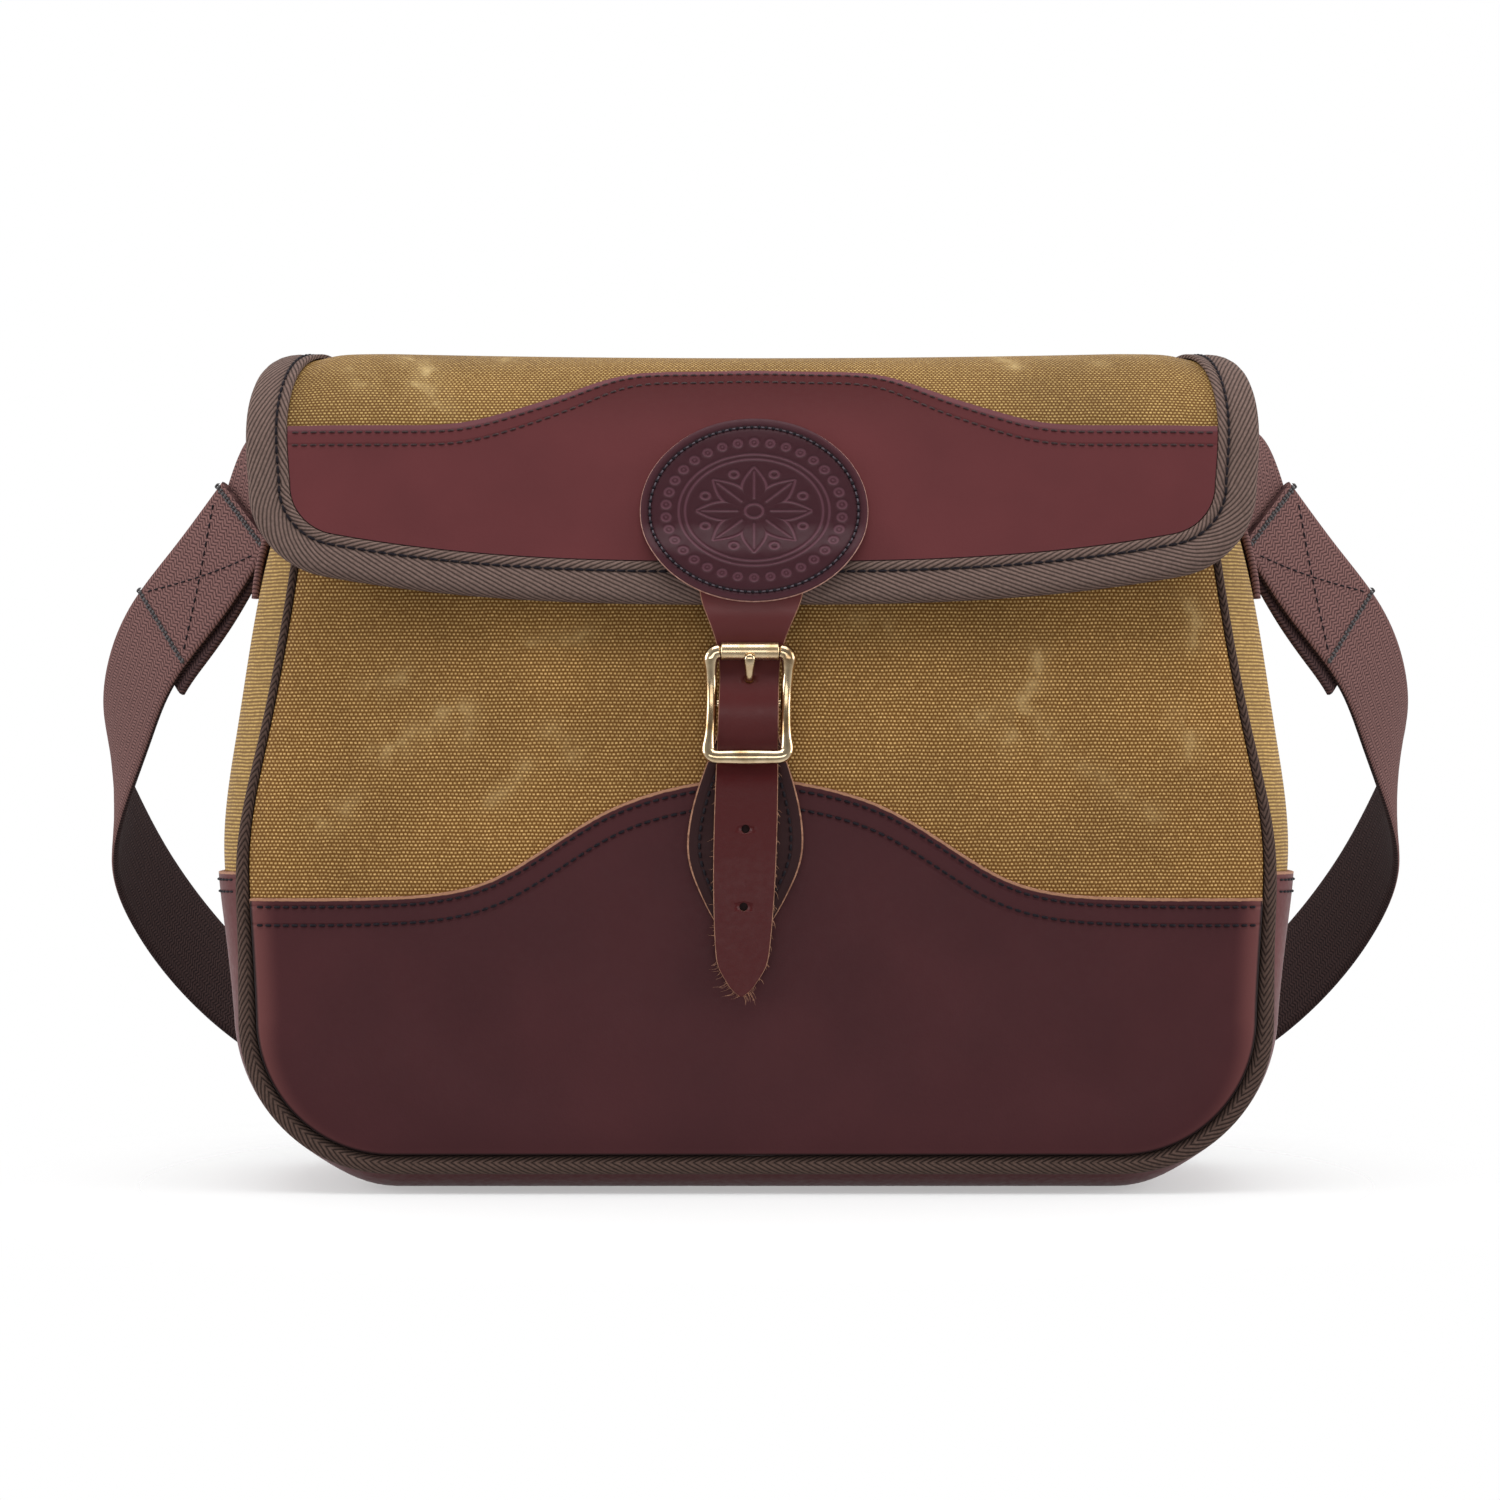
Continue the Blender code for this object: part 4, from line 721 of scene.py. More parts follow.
def gusset_at(path, normals, across, out):
    """Point of the gusset: the seam's outline, pushed out most along its flat middle."""
    z = path[:, 1][:, None]
    edge_share = np.clip(np.abs(across) - GUSSET_FLAT_SHARE, 0, None) / (1 - GUSSET_FLAT_SHARE)
    lift = read_table(GUSSET_BULGE, z) * (1 - edge_share ** GUSSET_ARCH_POWER) + out
    x = path[:, 0][:, None] + normals[:, 0][:, None] * lift
    height = z + normals[:, 1][:, None] * lift
    y = across * (seam_depth(z) - seam_inset(z))
    return join(x, y, height)


gusset_canvas_finish = waxed_canvas("waxed_duck_gusset", "#735124", "#D1AC65", "#B3905B", 0.3, True)
gusset_share = edge_dense(41)[None, :]
gusset_heights = np.linspace(BOOT_TOP - LAP, SEAM_TOP, 70)
gusset_path = join(seam_width(gusset_heights), gusset_heights)
gusset_normals = outward_normals(gusset_path)
gusset_outer = gusset_at(gusset_path, gusset_normals, gusset_share, 0.0)
gusset_inner = gusset_at(gusset_path, gusset_normals, gusset_share, -CANVAS)
gusset_cloth = join(gusset_outer[..., 1], gusset_outer[..., 2], 0.0)
for side_name, side in (("left", -1), ("right", 1)):
    gusset = new_wall(f"gusset_{side_name}_cloth", gusset_outer * (side, 1, 1), gusset_inner * (side, 1, 1),
                      gusset_cloth, [gusset_canvas_finish])
    dress(gusset, "waxed_canvas", f"gusset_canvas_{side_name}")


# Gusset leather: one long band under the bottom and part way up both sides, lapped over the canvas and
# sewn with two rows. The bag stands on its flat middle.
boot_path = mirrored(seam_half(40, 26, np.linspace(CORNER_Z, BOOT_TOP, 24)[1:]))
boot_normals = outward_normals(boot_path)
# The band is lighter than the front leather, partly its own tone and partly a painted sheen for its sides
boot_leather = oiled_leather("harness_leather_gusset", "#683A3A", "#5C3434", BOOT_ROWS, shine=0.12,
                             raw="#A97C62", tints=(("Z", *BOOT_SHADE, "#512223"),))
boot_outer = gusset_at(boot_path, boot_normals, gusset_share, GAP + LEATHER)
boot_inner = gusset_at(boot_path, boot_normals, gusset_share, GAP)
boot_along = np.cumsum(np.hypot(*np.gradient(boot_path, axis=0).T))[:, None]
boot_cloth = join(boot_outer[..., 1], boot_along, BOOT_TOP - boot_path[:, 1:])
gusset_leather = new_wall("gusset_leather_band", boot_outer, boot_inner, boot_cloth,
                          [boot_leather, panel_edge])
dress(gusset_leather, "bridle_leather", "gusset_leather")

boot_lines = []
row_across = np.linspace(-BOOT_ROW_REACH, BOOT_ROW_REACH, BOOT_ROW_POINTS)[None, :]
for row in BOOT_ROWS:
    row_heights = BOOT_TOP - row + np.array([-1.0, 0.0, 1.0])
    row_path = join(seam_width(row_heights), row_heights)
    row_lean = outward_normals(row_path[::2])[:1]
    line = gusset_at(row_path[1:2], row_lean, row_across, GAP + LEATHER)[0]
    out = gusset_at(row_path[1:2], row_lean, row_across, GAP + LEATHER + 1)[0] - line
    boot_lines += [(line, out), (line * (-1, 1, 1), out * (-1, 1, 1))]
dress(new_stitches("gusset_leather_stitches", boot_lines, stitch_thread), "bridle_leather")


# Piping: a cotton cord wrapped in grey brown twill tape, caught in the front seam and the back seam.
TWILL_PITCH = 1.3
# Angle round the cord at which its two slants of ribs meet
PIPING_FOLD = 0.6 * np.pi
PIPING_SIDES = 12


def sweep_rings(name, rings, cloth, materials, closed=False, kinds=None):
    """Join closed rings of points into a solid. The cloth values have one column more than the rings,
    so that they can run on round the ring. Open ends get a flat fan to their middle. The kinds are
    material numbers for the cells between the rings."""
    count, around = rings.shape[:2]
    index = np.arange(count * around).reshape(count, around)
    if closed:
        index = np.concatenate([index, index[:1]])
    index = np.concatenate([index, index[:, :1]], axis=1)
    points = rings.reshape(-1, 3)
    faces = cells(index).tolist()
    corners = cloth.reshape(-1, 3)[cells(np.arange(cloth.shape[0] * (around + 1)).reshape(-1, around + 1))]
    corners = corners.reshape(-1, 3)
    if kinds is not None:
        kinds = np.broadcast_to(kinds, (len(index) - 1, around)).ravel()
    if not closed:
        points = np.concatenate([points, rings[[0, -1]].mean(axis=1)])
        for ring, pole, end_cloth in ((index[0], count * around, cloth[0, 0]),
                                      (index[-1, ::-1], count * around + 1, cloth[-1, 0])):
            faces += join(ring[:-1], ring[1:], pole).tolist()
            corners = np.concatenate([corners, np.tile(end_cloth, (3 * around, 1))])
            if kinds is not None:
                kinds = np.concatenate([kinds, np.zeros(around, int)])
    return new_piece(name, points, faces, corners, materials, kinds)


def twill_tape(name, groove, rib, slope, turn_line):
    """Cotton twill tape: ribs that run slantwise along it and turn back past a line, like a herringbone.
    The first cloth value is the distance across the tape, the second the length along it, and the third
    is the strength of painted shade where a row of dark thread or a fold shades the tape."""
    material, tree, shader = new_material(name)
    cloth = add_node(tree, "ShaderNodeAttribute", {"attribute_name": "cloth"})
    place = add_node(tree, "ShaderNodeTexCoord").outputs["Object"]
    tape = add_node(tree, "ShaderNodeSeparateXYZ", None, {0: cloth.outputs["Vector"]})
    past = add_node(tree, "ShaderNodeMath", {"operation": "SUBTRACT"}, {0: tape.outputs["X"], 1: turn_line})
    past = add_node(tree, "ShaderNodeMath", {"operation": "ABSOLUTE"}, {0: past})
    slant = add_node(tree, "ShaderNodeMath", {"operation": "MULTIPLY_ADD"},
                     {0: past, 1: -slope, 2: tape.outputs["Y"]})
    wander = add_node(tree, "ShaderNodeTexNoise", None, {"Vector": place, "Scale": 260.0, "Detail": 2.0})
    slant = add_node(tree, "ShaderNodeMath", {"operation": "MULTIPLY_ADD"}, {0: wander, 1: 1.0, 2: slant})
    turn = add_node(tree, "ShaderNodeMath", {"operation": "MULTIPLY"},
                    {0: slant, 1: np.pi / (TWILL_PITCH * np.hypot(1, slope))})
    wave = add_node(tree, "ShaderNodeMath", {"operation": "SINE"}, {0: turn})
    rib_height = add_node(tree, "ShaderNodeMath", {"operation": "ABSOLUTE"}, {0: wave})
    fibre = add_node(tree, "ShaderNodeTexNoise", None, {"Vector": place, "Scale": 1100.0, "Detail": 2.0})
    fibre_level = add_node(tree, "ShaderNodeMapRange", None,
                           {"Value": fibre, "From Min": 0.3, "From Max": 0.7, "To Min": 0.7, "To Max": 1.1})
    shade = add_node(tree, "ShaderNodeMath", {"operation": "MULTIPLY"}, {0: rib_height, 1: fibre_level})
    colour = add_node(tree, "ShaderNodeMix", {"data_type": "RGBA"},
                      {0: shade, 6: linear(groove), 7: linear(rib)})
    dark = add_node(tree, "ShaderNodeMapRange", None,
                    {"Value": tape.outputs["Z"], "To Min": 1.0, "To Max": 0.35})
    shaded = add_node(tree, "ShaderNodeVectorMath", {"operation": "SCALE"},
                      {0: colour.outputs[2], "Scale": dark})
    tree.links.new(shaded.outputs[0], shader.inputs["Base Color"])
    height = add_node(tree, "ShaderNodeMath", {"operation": "MULTIPLY_ADD"},
                      {0: fibre, 1: 0.25, 2: rib_height})
    bump = add_node(tree, "ShaderNodeBump", None, {"Height": height, "Distance": 0.3 * MM, "Strength": 0.9})
    tree.links.new(bump.outputs[0], shader.inputs["Normal"])
    shader.inputs["Roughness"].default_value = 0.9
    shader.inputs["Specular IOR Level"].default_value = 0.15
    return material


piping_tape = twill_tape("twill_tape_piping", "#201816", "#604C44", 1.7, 0.0)
piping_path = mirrored(seam_half(70, 40, np.linspace(CORNER_Z, SEAM_TOP, 90)[1:]))
piping_normals = outward_normals(piping_path)
piping_turn = np.linspace(0, 2 * np.pi, PIPING_SIDES + 1)
piping_radius = read_table(PIPING_RADIUS, piping_path[:, 1:])
piping_out = piping_radius * np.cos(piping_turn)
piping_x = piping_path[:, :1] + piping_normals[:, :1] * piping_out
piping_z = piping_path[:, 1:] + piping_normals[:, 1:] * piping_out
tape_across = piping_radius * (piping_turn - PIPING_FOLD)
piping_cloth = join(tape_across, lengths_along(piping_path)[:, None], 0.0)
for piping_name, side in (("front", -1), ("back", 1)):
    piping_y = side * (seam_depth(piping_path[:, 1:]) + piping_radius * np.sin(piping_turn))
    piping_rings = join(piping_x, piping_y, piping_z)[:, :-1]
    piping = sweep_rings(f"{piping_name}_piping_cord", piping_rings, piping_cloth, [piping_tape])
    dress(piping, "twill_tape", f"{piping_name}_piping")


# Back and flap: one long sheet of waxed duck. It is the back of the bag, turns over a round fold at the
# top and hangs down the front as the flap, with round lower corners.
BACK_LEATHER_TOP = 97.0
FOLD_RADIUS = 43.0
FOLD_Y = -4.9
FOLD_Z = 232.0
FOLD_START = 3.6
FOLD_END = 168.6
BACK_FOOT_Y = HALF_DEPTH_BOTTOM + ROLL_DEPTH
FLAP_LOWER_Y = -57.2
FLAP_LOWER_Z = 190.2
FLAP_CORNER_RADIUS = 28.2
FLAP_CORNER_X = 130.4
FLAP_CORNER_LINE = 359.0
FLAP_CORNER_SWEEP = 80.0
FLAP_FRONT_LINE = 340.0
FLAP_LAST_LINE = 395.9
FLAP_EDGE_POWER = 2.8
FLAP_SHIFT = -1.2
BACK_FULLNESS = 4.0
FOLD_SAG = 2.2
FOLD_SAG_LENGTH = 45.0
FOLD_SAG_HALF_WIDTH = 150.0
# How far the flap's edges droop at the fold: distance from the middle, drop
FOLD_DROOP = ((118.0, 0.0), (130.0, 0.4), (137.0, 1.2), (143.0, 2.7), (150.0, 3.4), (158.0, 5.3),
              (166.0, 6.4))
BACK_LENGTH = np.hypot(FOLD_Z + FOLD_RADIUS * np.sin(np.radians(FOLD_START)) - SEAM_BOTTOM,
                       FOLD_Y + FOLD_RADIUS * np.cos(np.radians(FOLD_START)) - BACK_FOOT_Y)
FOLD_MIDDLE_LINE = BACK_LENGTH + FOLD_RADIUS * np.radians(90 - FOLD_START)
SEAM_END_LINE = BACK_LENGTH + 7.0
BINDING_START_LINE = BACK_LENGTH + 18.0
# Flap canvas: length along the profile from the foot of the back, half width
FLAP_SIDE = ((231.0, 140.5), (250.0, 143.6), (287.0, 152.7), (321.0, 159.0), (340.0, 160.0), (359.0, 158.6))
# Pale marks where the waxed flap and back were folded: across and along, first and last point, strength
FLAP_CREASES = (((-112.0, 303.0), (-105.0, 316.0), 0.91), ((-108.0, 322.0), (-101.0, 331.0), 0.72),
                ((-88.0, 286.0), (-80.0, 304.0), 0.52), ((75.0, 290.0), (84.0, 310.0), 0.78),
                ((96.0, 302.0), (112.0, 308.0), 0.52),
                ((-132.0, 310.0), (-126.0, 322.0), 0.39), ((120.0, 296.0), (130.0, 300.0), 0.39),
                ((-95.0, 150.0), (-82.0, 171.0), 0.78), ((60.0, 180.0), (88.0, 196.0), 0.65),
                ((-30.0, 205.0), (-4.0, 214.0), 0.52), ((110.0, 120.0), (118.0, 142.0), 0.65),
                ((10.0, 130.0), (36.0, 141.0), 0.52), ((-120.0, 220.0), (-104.0, 238.0), 0.52))


def profile_at(line):
    """Profile of the back and flap by length from the back's foot: a line, a round fold, a line."""
    start = np.radians(FOLD_START)
    end = np.radians(FOLD_END)
    top = np.array([FOLD_Y + FOLD_RADIUS * np.cos(start), FOLD_Z + FOLD_RADIUS * np.sin(start)])
    foot = np.array([BACK_FOOT_Y, SEAM_BOTTOM])
    fold_length = FOLD_RADIUS * (end - start)
    angle = start + np.clip(line - BACK_LENGTH, 0, fold_length) / FOLD_RADIUS
    below_back = np.clip(BACK_LENGTH - line, 0, None)
    past_fold = np.clip(line - BACK_LENGTH - fold_length, 0, None)
    back_run = (foot - top) / BACK_LENGTH
    front_end = np.array([FOLD_Y + FOLD_RADIUS * np.cos(end), FOLD_Z + FOLD_RADIUS * np.sin(end)])
    front_run = unit(np.array([FLAP_LOWER_Y, FLAP_LOWER_Z]) - front_end)
    y = FOLD_Y + FOLD_RADIUS * np.cos(angle) + below_back * back_run[0] + past_fold * front_run[0]
    z = FOLD_Z + FOLD_RADIUS * np.sin(angle) + below_back * back_run[1] + past_fold * front_run[1]
    return y, z, np.cos(angle), np.sin(angle)


def flap_at(x, line, out):
    """Point of the back or flap by distance across and length along the profile.

    Below the fold the edges roll in to the seam and the middle is full. At the fold the middle sags
    and the edges droop. The front hangs a little to one side.
    """
    y, z, out_y, out_z = profile_at(line)
    seamed = 1 - smooth_step(SEAM_END_LINE, BINDING_START_LINE, line)
    reach = np.minimum(z, SEAM_TOP)
    roll = (y - seam_depth(z)) * np.exp(-seam_distance(x, reach) / ROLL_LENGTH) * seamed
    fullness = BACK_FULLNESS * np.sin(np.pi * np.clip(line / BACK_LENGTH, 0, 1)) * crown(x, reach)
    at_fold = np.exp(-((line - FOLD_MIDDLE_LINE) / FOLD_SAG_LENGTH) ** 2)
    sag = FOLD_SAG * at_fold * (1 - np.clip(np.abs(x) / FOLD_SAG_HALF_WIDTH, 0, 1) ** 2)
    droop = at_fold * read_table(FOLD_DROOP, np.abs(x))
    lift = fullness - roll - sag - droop + out
    shift = FLAP_SHIFT * smooth_step(BACK_LENGTH, FLAP_FRONT_LINE, line)
    return join(x + shift, y + lift * out_y, z + lift * out_z)


def flap_half_width(line):
    """Half width of the back's canvas inside its seams, then of the free flap."""
    seam_line = FLAP_SIDE[0][0]
    back_z = profile_at(np.minimum(line, seam_line))[1]
    return np.where(line < seam_line, seam_width(back_z, seam_inset(back_z)), read_table(FLAP_SIDE, line))


def flap_row(share, inset):
    """Ends of a row of the flap's front: half width and length at its edge, length at its middle."""
    radius = FLAP_CORNER_RADIUS - inset
    straight = FLAP_CORNER_LINE - FLAP_FRONT_LINE
    along = share * (straight + FLAP_CORNER_RADIUS * np.radians(FLAP_CORNER_SWEEP))
    turn = np.clip(along - straight, 0, None) / FLAP_CORNER_RADIUS
    round_width = FLAP_CORNER_X + radius * np.cos(turn)
    side_width = flap_half_width(FLAP_FRONT_LINE + np.minimum(along, straight)) - inset
    half_width = np.where(along < straight, side_width, round_width)
    edge_line = FLAP_FRONT_LINE + np.minimum(along, straight) + radius * np.sin(turn)
    middle_line = FLAP_FRONT_LINE + share * (FLAP_LAST_LINE - inset - FLAP_FRONT_LINE)
    return half_width, edge_line, middle_line


def flap_front_grid(columns, shares, inset):
    """Distance across and length along for rows that bend from level to the flap's curved edge."""
    half_width, edge_line, middle_line = (part[:, None] for part in flap_row(shares, inset))
    line = middle_line + (edge_line - middle_line) * np.abs(columns) ** FLAP_EDGE_POWER
    return columns * half_width, line


# The flap's duck is a darker copy of the front's: painted shade that holds back the light from above
flap_canvas_finish = waxed_canvas("waxed_duck_flap", "#67451B", "#D5B371", "#C9AD78")
flap_share = edge_dense(131)[None, :]
back_line = np.concatenate([np.linspace(BACK_LEATHER_TOP - LAP - SEAM_BOTTOM, BACK_LENGTH, 50),
                            np.linspace(BACK_LENGTH, FLAP_FRONT_LINE, 60)[1:]])[:, None]
flap_x, flap_line = flap_front_grid(flap_share, np.linspace(0, 1, 30)[1:], 0.0)
flap_x = np.concatenate([flap_share * flap_half_width(back_line), flap_x])
flap_line = np.concatenate([back_line + 0 * flap_share, flap_line])
flap_cloth = join(flap_x, flap_line, crease_marks(flap_x, flap_line, FLAP_CREASES))
flap_canvas = new_wall("back_and_flap_cloth", flap_at(flap_x, flap_line, 0.0),
                       flap_at(flap_x, flap_line, -CANVAS), flap_cloth, [flap_canvas_finish])
dress(flap_canvas, "waxed_canvas", "back_flap_canvas")


# Back leather: a plain panel across the foot of the back, with a straight raw top edge and two rows.
BACK_ROW_END = 1.5
BACK_ROW_POINTS = 300
back_top = BACK_LEATHER_TOP - SEAM_BOTTOM
back_corner = (CORNER_RADIUS - foot_inset) / (back_top - foot_inset)
back_panel_line = foot_inset + foot_shares(back_corner, 26, 22) * (back_top - foot_inset)
back_x = flap_share * flap_half_width(back_panel_line)
back_z = back_panel_line + SEAM_BOTTOM
back_cloth = join(*side_distances(back_x, back_z), back_top - back_panel_line)
back_leather = new_wall("back_leather_panel", flap_at(back_x, back_panel_line, GAP + LEATHER),
                        flap_at(back_x, back_panel_line, GAP), back_cloth, [harness_leather, panel_edge])
dress(back_leather, "bridle_leather", "back_leather")

back_lines = []
for row in LEATHER_ROWS:
    row_line = np.full(BACK_ROW_POINTS, back_top - row)
    row_x = np.linspace(-1, 1, BACK_ROW_POINTS) * (flap_half_width(row_line) - BACK_ROW_END)
    back_lines.append(on_surface(flap_at, row_x, row_line, GAP + LEATHER))
dress(new_stitches("back_leather_stitches", back_lines, stitch_thread), "bridle_leather")


# Flap leather: a thinner facing sewn to the front of the flap, redder than the foot, with painted
# shade that darkens it toward its top over the fold, and a waved top edge that is skived and dyed, so
# that only a faint line shows.
FLAP_LAYER_GAP = 0.45
YOKE_LEATHER = 1.2
YOKE_ROWS = (2.3, 6.5)
YOKE_ROW_END = 1.0
YOKE_STITCH_RADIUS = 0.34
YOKE_ROUND_OUT = 0.15
YOKE_FRONT_RISE = 8.0
YOKE_FRONT_START = 0.04
# Painted shade toward the facing's top, over the fold: lengths along the profile at which it is full and gone
YOKE_SHADE = (320.0, 350.0)
YOKE_TOP_LINE = (1.5, 2.5)
BINDING_WIDTH = 11.4
# Top edge of the flap's leather: distance from the middle, height on the front half of the fold
YOKE_WAVE = ((0.0, 266.4), (20.0, 266.0), (44.0, 263.9), (60.0, 257.9), (76.0, 252.4), (92.0, 248.3),
             (110.0, 247.3), (165.0, 247.3))


def line_at_front_height(z):
    """Length along the profile of a height on the front half of the fold."""
    angle = np.pi - np.arcsin(np.clip((z - FOLD_Z) / FOLD_RADIUS, 0, 1))
    return BACK_LENGTH + FOLD_RADIUS * (angle - np.radians(FOLD_START))


yoke_finish = oiled_leather("harness_leather_flap", "#683739", "#603335", YOKE_ROWS, 0.6, 0.05,
                            tints=(("Y", *YOKE_SHADE, "#4E2526"), ("Z", *YOKE_TOP_LINE, "#6E4549")))
yoke_edge = raw_edge("leather_dyed_edge", "#5B3A3E", "#452A2F")
yoke_inset = BINDING_WIDTH + GAP
yoke_half_width = flap_half_width(FLAP_FRONT_LINE - YOKE_FRONT_RISE) - yoke_inset
yoke_top_line = line_at_front_height(read_even_table(YOKE_WAVE, flap_share * yoke_half_width))
yoke_front_x, yoke_front_line = flap_front_grid(flap_share, np.linspace(YOKE_FRONT_START, 1, 26), yoke_inset)
yoke_rise = np.linspace(0, 1, 21)[:-1, None]
yoke_rise_line = yoke_top_line + yoke_rise * (yoke_front_line[:1] - yoke_top_line)
yoke_x = np.concatenate([flap_share * (flap_half_width(yoke_rise_line) - yoke_inset), yoke_front_x])
yoke_line = np.concatenate([yoke_rise_line, yoke_front_line])
yoke_slope = np.gradient(yoke_top_line[0], yoke_x[0])
yoke_cloth = join(yoke_x, yoke_line, (yoke_line - yoke_top_line) / np.hypot(1, yoke_slope))
flap_yoke = new_wall("flap_leather_facing", flap_at(yoke_x, yoke_line, FLAP_LAYER_GAP + YOKE_LEATHER),
                     flap_at(yoke_x, yoke_line, FLAP_LAYER_GAP), yoke_cloth, [yoke_finish, yoke_edge],
                     YOKE_ROUND_OUT)
dress(flap_yoke, "bridle_leather", "flap_yoke")

yoke_lines = []
row_x = np.linspace(-1, 1, ROW_POINTS) * (yoke_half_width - YOKE_ROW_END)
row_line = line_at_front_height(read_even_table(YOKE_WAVE, row_x))
for row in YOKE_ROWS:
    line_x, line_along = offset_line(row_x, row_line, -row)
    yoke_lines.append(on_surface(flap_at, line_x, line_along, FLAP_LAYER_GAP + YOKE_LEATHER))
yoke_thread = waxed_thread("waxed_thread_brown", "#24161A", "#54403F", 0.2)
dress(new_stitches("flap_leather_stitches", yoke_lines, yoke_thread, radius=YOKE_STITCH_RADIUS),
      "bridle_leather")


# Flap binding: wide twill tape folded over the raw edge of the flap and sewn through with one row of
# black thread. Its ribs turn back past the row, and the tape is a little hollow along the thread.
BINDING_ROW = 8.1
BINDING_ROW_LIFT = 1.75
BINDING_STITCH = 3.3
BINDING_STITCH_RADIUS = 0.42
BINDING_STITCH_SHARE = 0.92
# Painted shade along the row of thread: half width and strength
ROW_SHADE_WIDTH = 0.45
ROW_SHADE = 0.8
# Section of the folded tape: distance in from the canvas edge, distance out of the canvas face
BINDING_SECTION = ((11.4, 0.5), (11.4, 1.5), (11.0, 1.9), (10.0, 2.05), (9.0, 1.95), (8.1, 1.6), (7.2, 1.95),
                   (5.0, 2.25), (2.5, 2.35), (0.8, 2.3), (-0.6, 1.9), (-1.4, 1.2), (-1.8, 0.2), (-1.9, -0.8),
                   (-1.8, -1.8), (-1.4, -2.8), (-0.6, -3.5), (0.8, -3.8), (6.4, -3.7), (11.4, -3.7),
                   (11.4, -2.1), (5.0, -2.1), (-0.5, -2.1), (-0.5, 0.5), (5.0, 0.5))
# Points of that section: at the row of thread, and at the flap's edge
BINDING_ROW_POINT = 5
BINDING_EDGE_POINT = 13


def binding_route(side_count, corner_count, lower_count):
    """Edge of the flap's canvas from its back right corner, down and round, to mid front."""
    side_line = np.linspace(BINDING_START_LINE, FLAP_FRONT_LINE, side_count)
    side = join(flap_half_width(side_line), side_line)
    half_width, edge_line = flap_row(np.linspace(0, 1, corner_count)[1:], 0.0)[:2]
    corner = join(half_width, edge_line)
    share = np.linspace(1, 0, lower_count)[1:]
    lower_line = FLAP_LAST_LINE + (edge_line[-1] - FLAP_LAST_LINE) * share ** FLAP_EDGE_POWER
    lower = join(share * half_width[-1], lower_line)
    return np.concatenate([side, corner, lower])


binding_right = binding_route(90, 60, 90)
binding_path = np.concatenate([binding_right * (-1, 1), binding_right[-2::-1]])
binding_inward = -outward_normals(binding_path)
binding_section = np.array(BINDING_SECTION)
binding_flat = binding_path[:, None, :] - binding_inward[:, None, :] * binding_section[:, 0][None, :, None]
binding_rings = flap_at(binding_flat[..., 0], binding_flat[..., 1], binding_section[:, 1][None, :])
section_closed = np.concatenate([binding_section, binding_section[:1]])
section_reach = lengths_along(section_closed)
tape_across = np.abs(section_reach[BINDING_EDGE_POINT] - section_reach)
binding_tape = twill_tape("twill_tape_binding", "#372C28", "#806A62", 2.2, tape_across[BINDING_ROW_POINT])
binding_along = lengths_along(binding_path)
row_shade = np.exp(-((section_closed[:, 0] - BINDING_ROW) / ROW_SHADE_WIDTH) ** 2) * ROW_SHADE
binding_cloth = join(tape_across, binding_along[:, None], row_shade)
flap_binding = sweep_rings("flap_binding_tape", binding_rings, binding_cloth, [binding_tape])
dress(flap_binding, "twill_tape", "flap_binding")

binding_row = binding_path - binding_inward * BINDING_ROW
binding_line = on_surface(flap_at, binding_row[:, 0], binding_row[:, 1], BINDING_ROW_LIFT)
dress(new_stitches("flap_binding_stitches", [binding_line], stitch_thread, BINDING_STITCH,
                   BINDING_STITCH_RADIUS, BINDING_STITCH_SHARE), "twill_tape")


# Oval patch: thick glossy leather, sewn on the flap over the root of the closure strap, with a ring of
# black thread near its raw edge. A plain rosette of eight petals in a double ring is pressed into it,
# with a border of small round stamps.
PATCH_X = 0.5
PATCH_LINE = 368.3
PATCH_HALF_WIDTH = 36.2
PATCH_HALF_HEIGHT = 30.3
# Rise over the strap's root, and the length along the flap from which and to which it grows
PATCH_LIFT = 3.1
PATCH_LIFT_FROM = 372.0
PATCH_LIFT_TO = 384.0
PATCH_ROW = 3.1
PATCH_STITCH = 2.3
PATCH_THREAD_SINK = 0.2
PATCH_TURNS = 360
PATCH_TOP_RINGS = 96
PATCH_RIM_RINGS = 4
PATCH_ROW_POINTS = 400
RING_HALF_WIDTH = 22.9
RING_HALF_HEIGHT = 17.8
RING_HALF_SPACING = 0.9
PRESSED_HALF_WIDTH = 0.42
PETAL_LENGTH = 14.5
PETAL_HALF_WIDTH = 3.1
EYE_RADIUS = 2.2
VEIN_START = 4
VEIN_MARGIN = 0.8
VEIN_SHARE = 0.8
# Small circles between the petals: distance from the middle, radius
DOT_REACH = 13.0
DOT_RADIUS = 1.1
STAMP_RADIUS = 1.25
STAMP_EYE = 0.5
STAMP_COUNT = 34
RELIEF = 0.32
STITCH_GROOVE = 0.22
STITCH_GROOVE_WIDTH = 0.8


def pressed_line(distance, half_width=PRESSED_HALF_WIDTH):
    """Depth share of a line pressed into leather: a bell of the distance from it."""
    return np.exp(-(distance / half_width) ** 2)


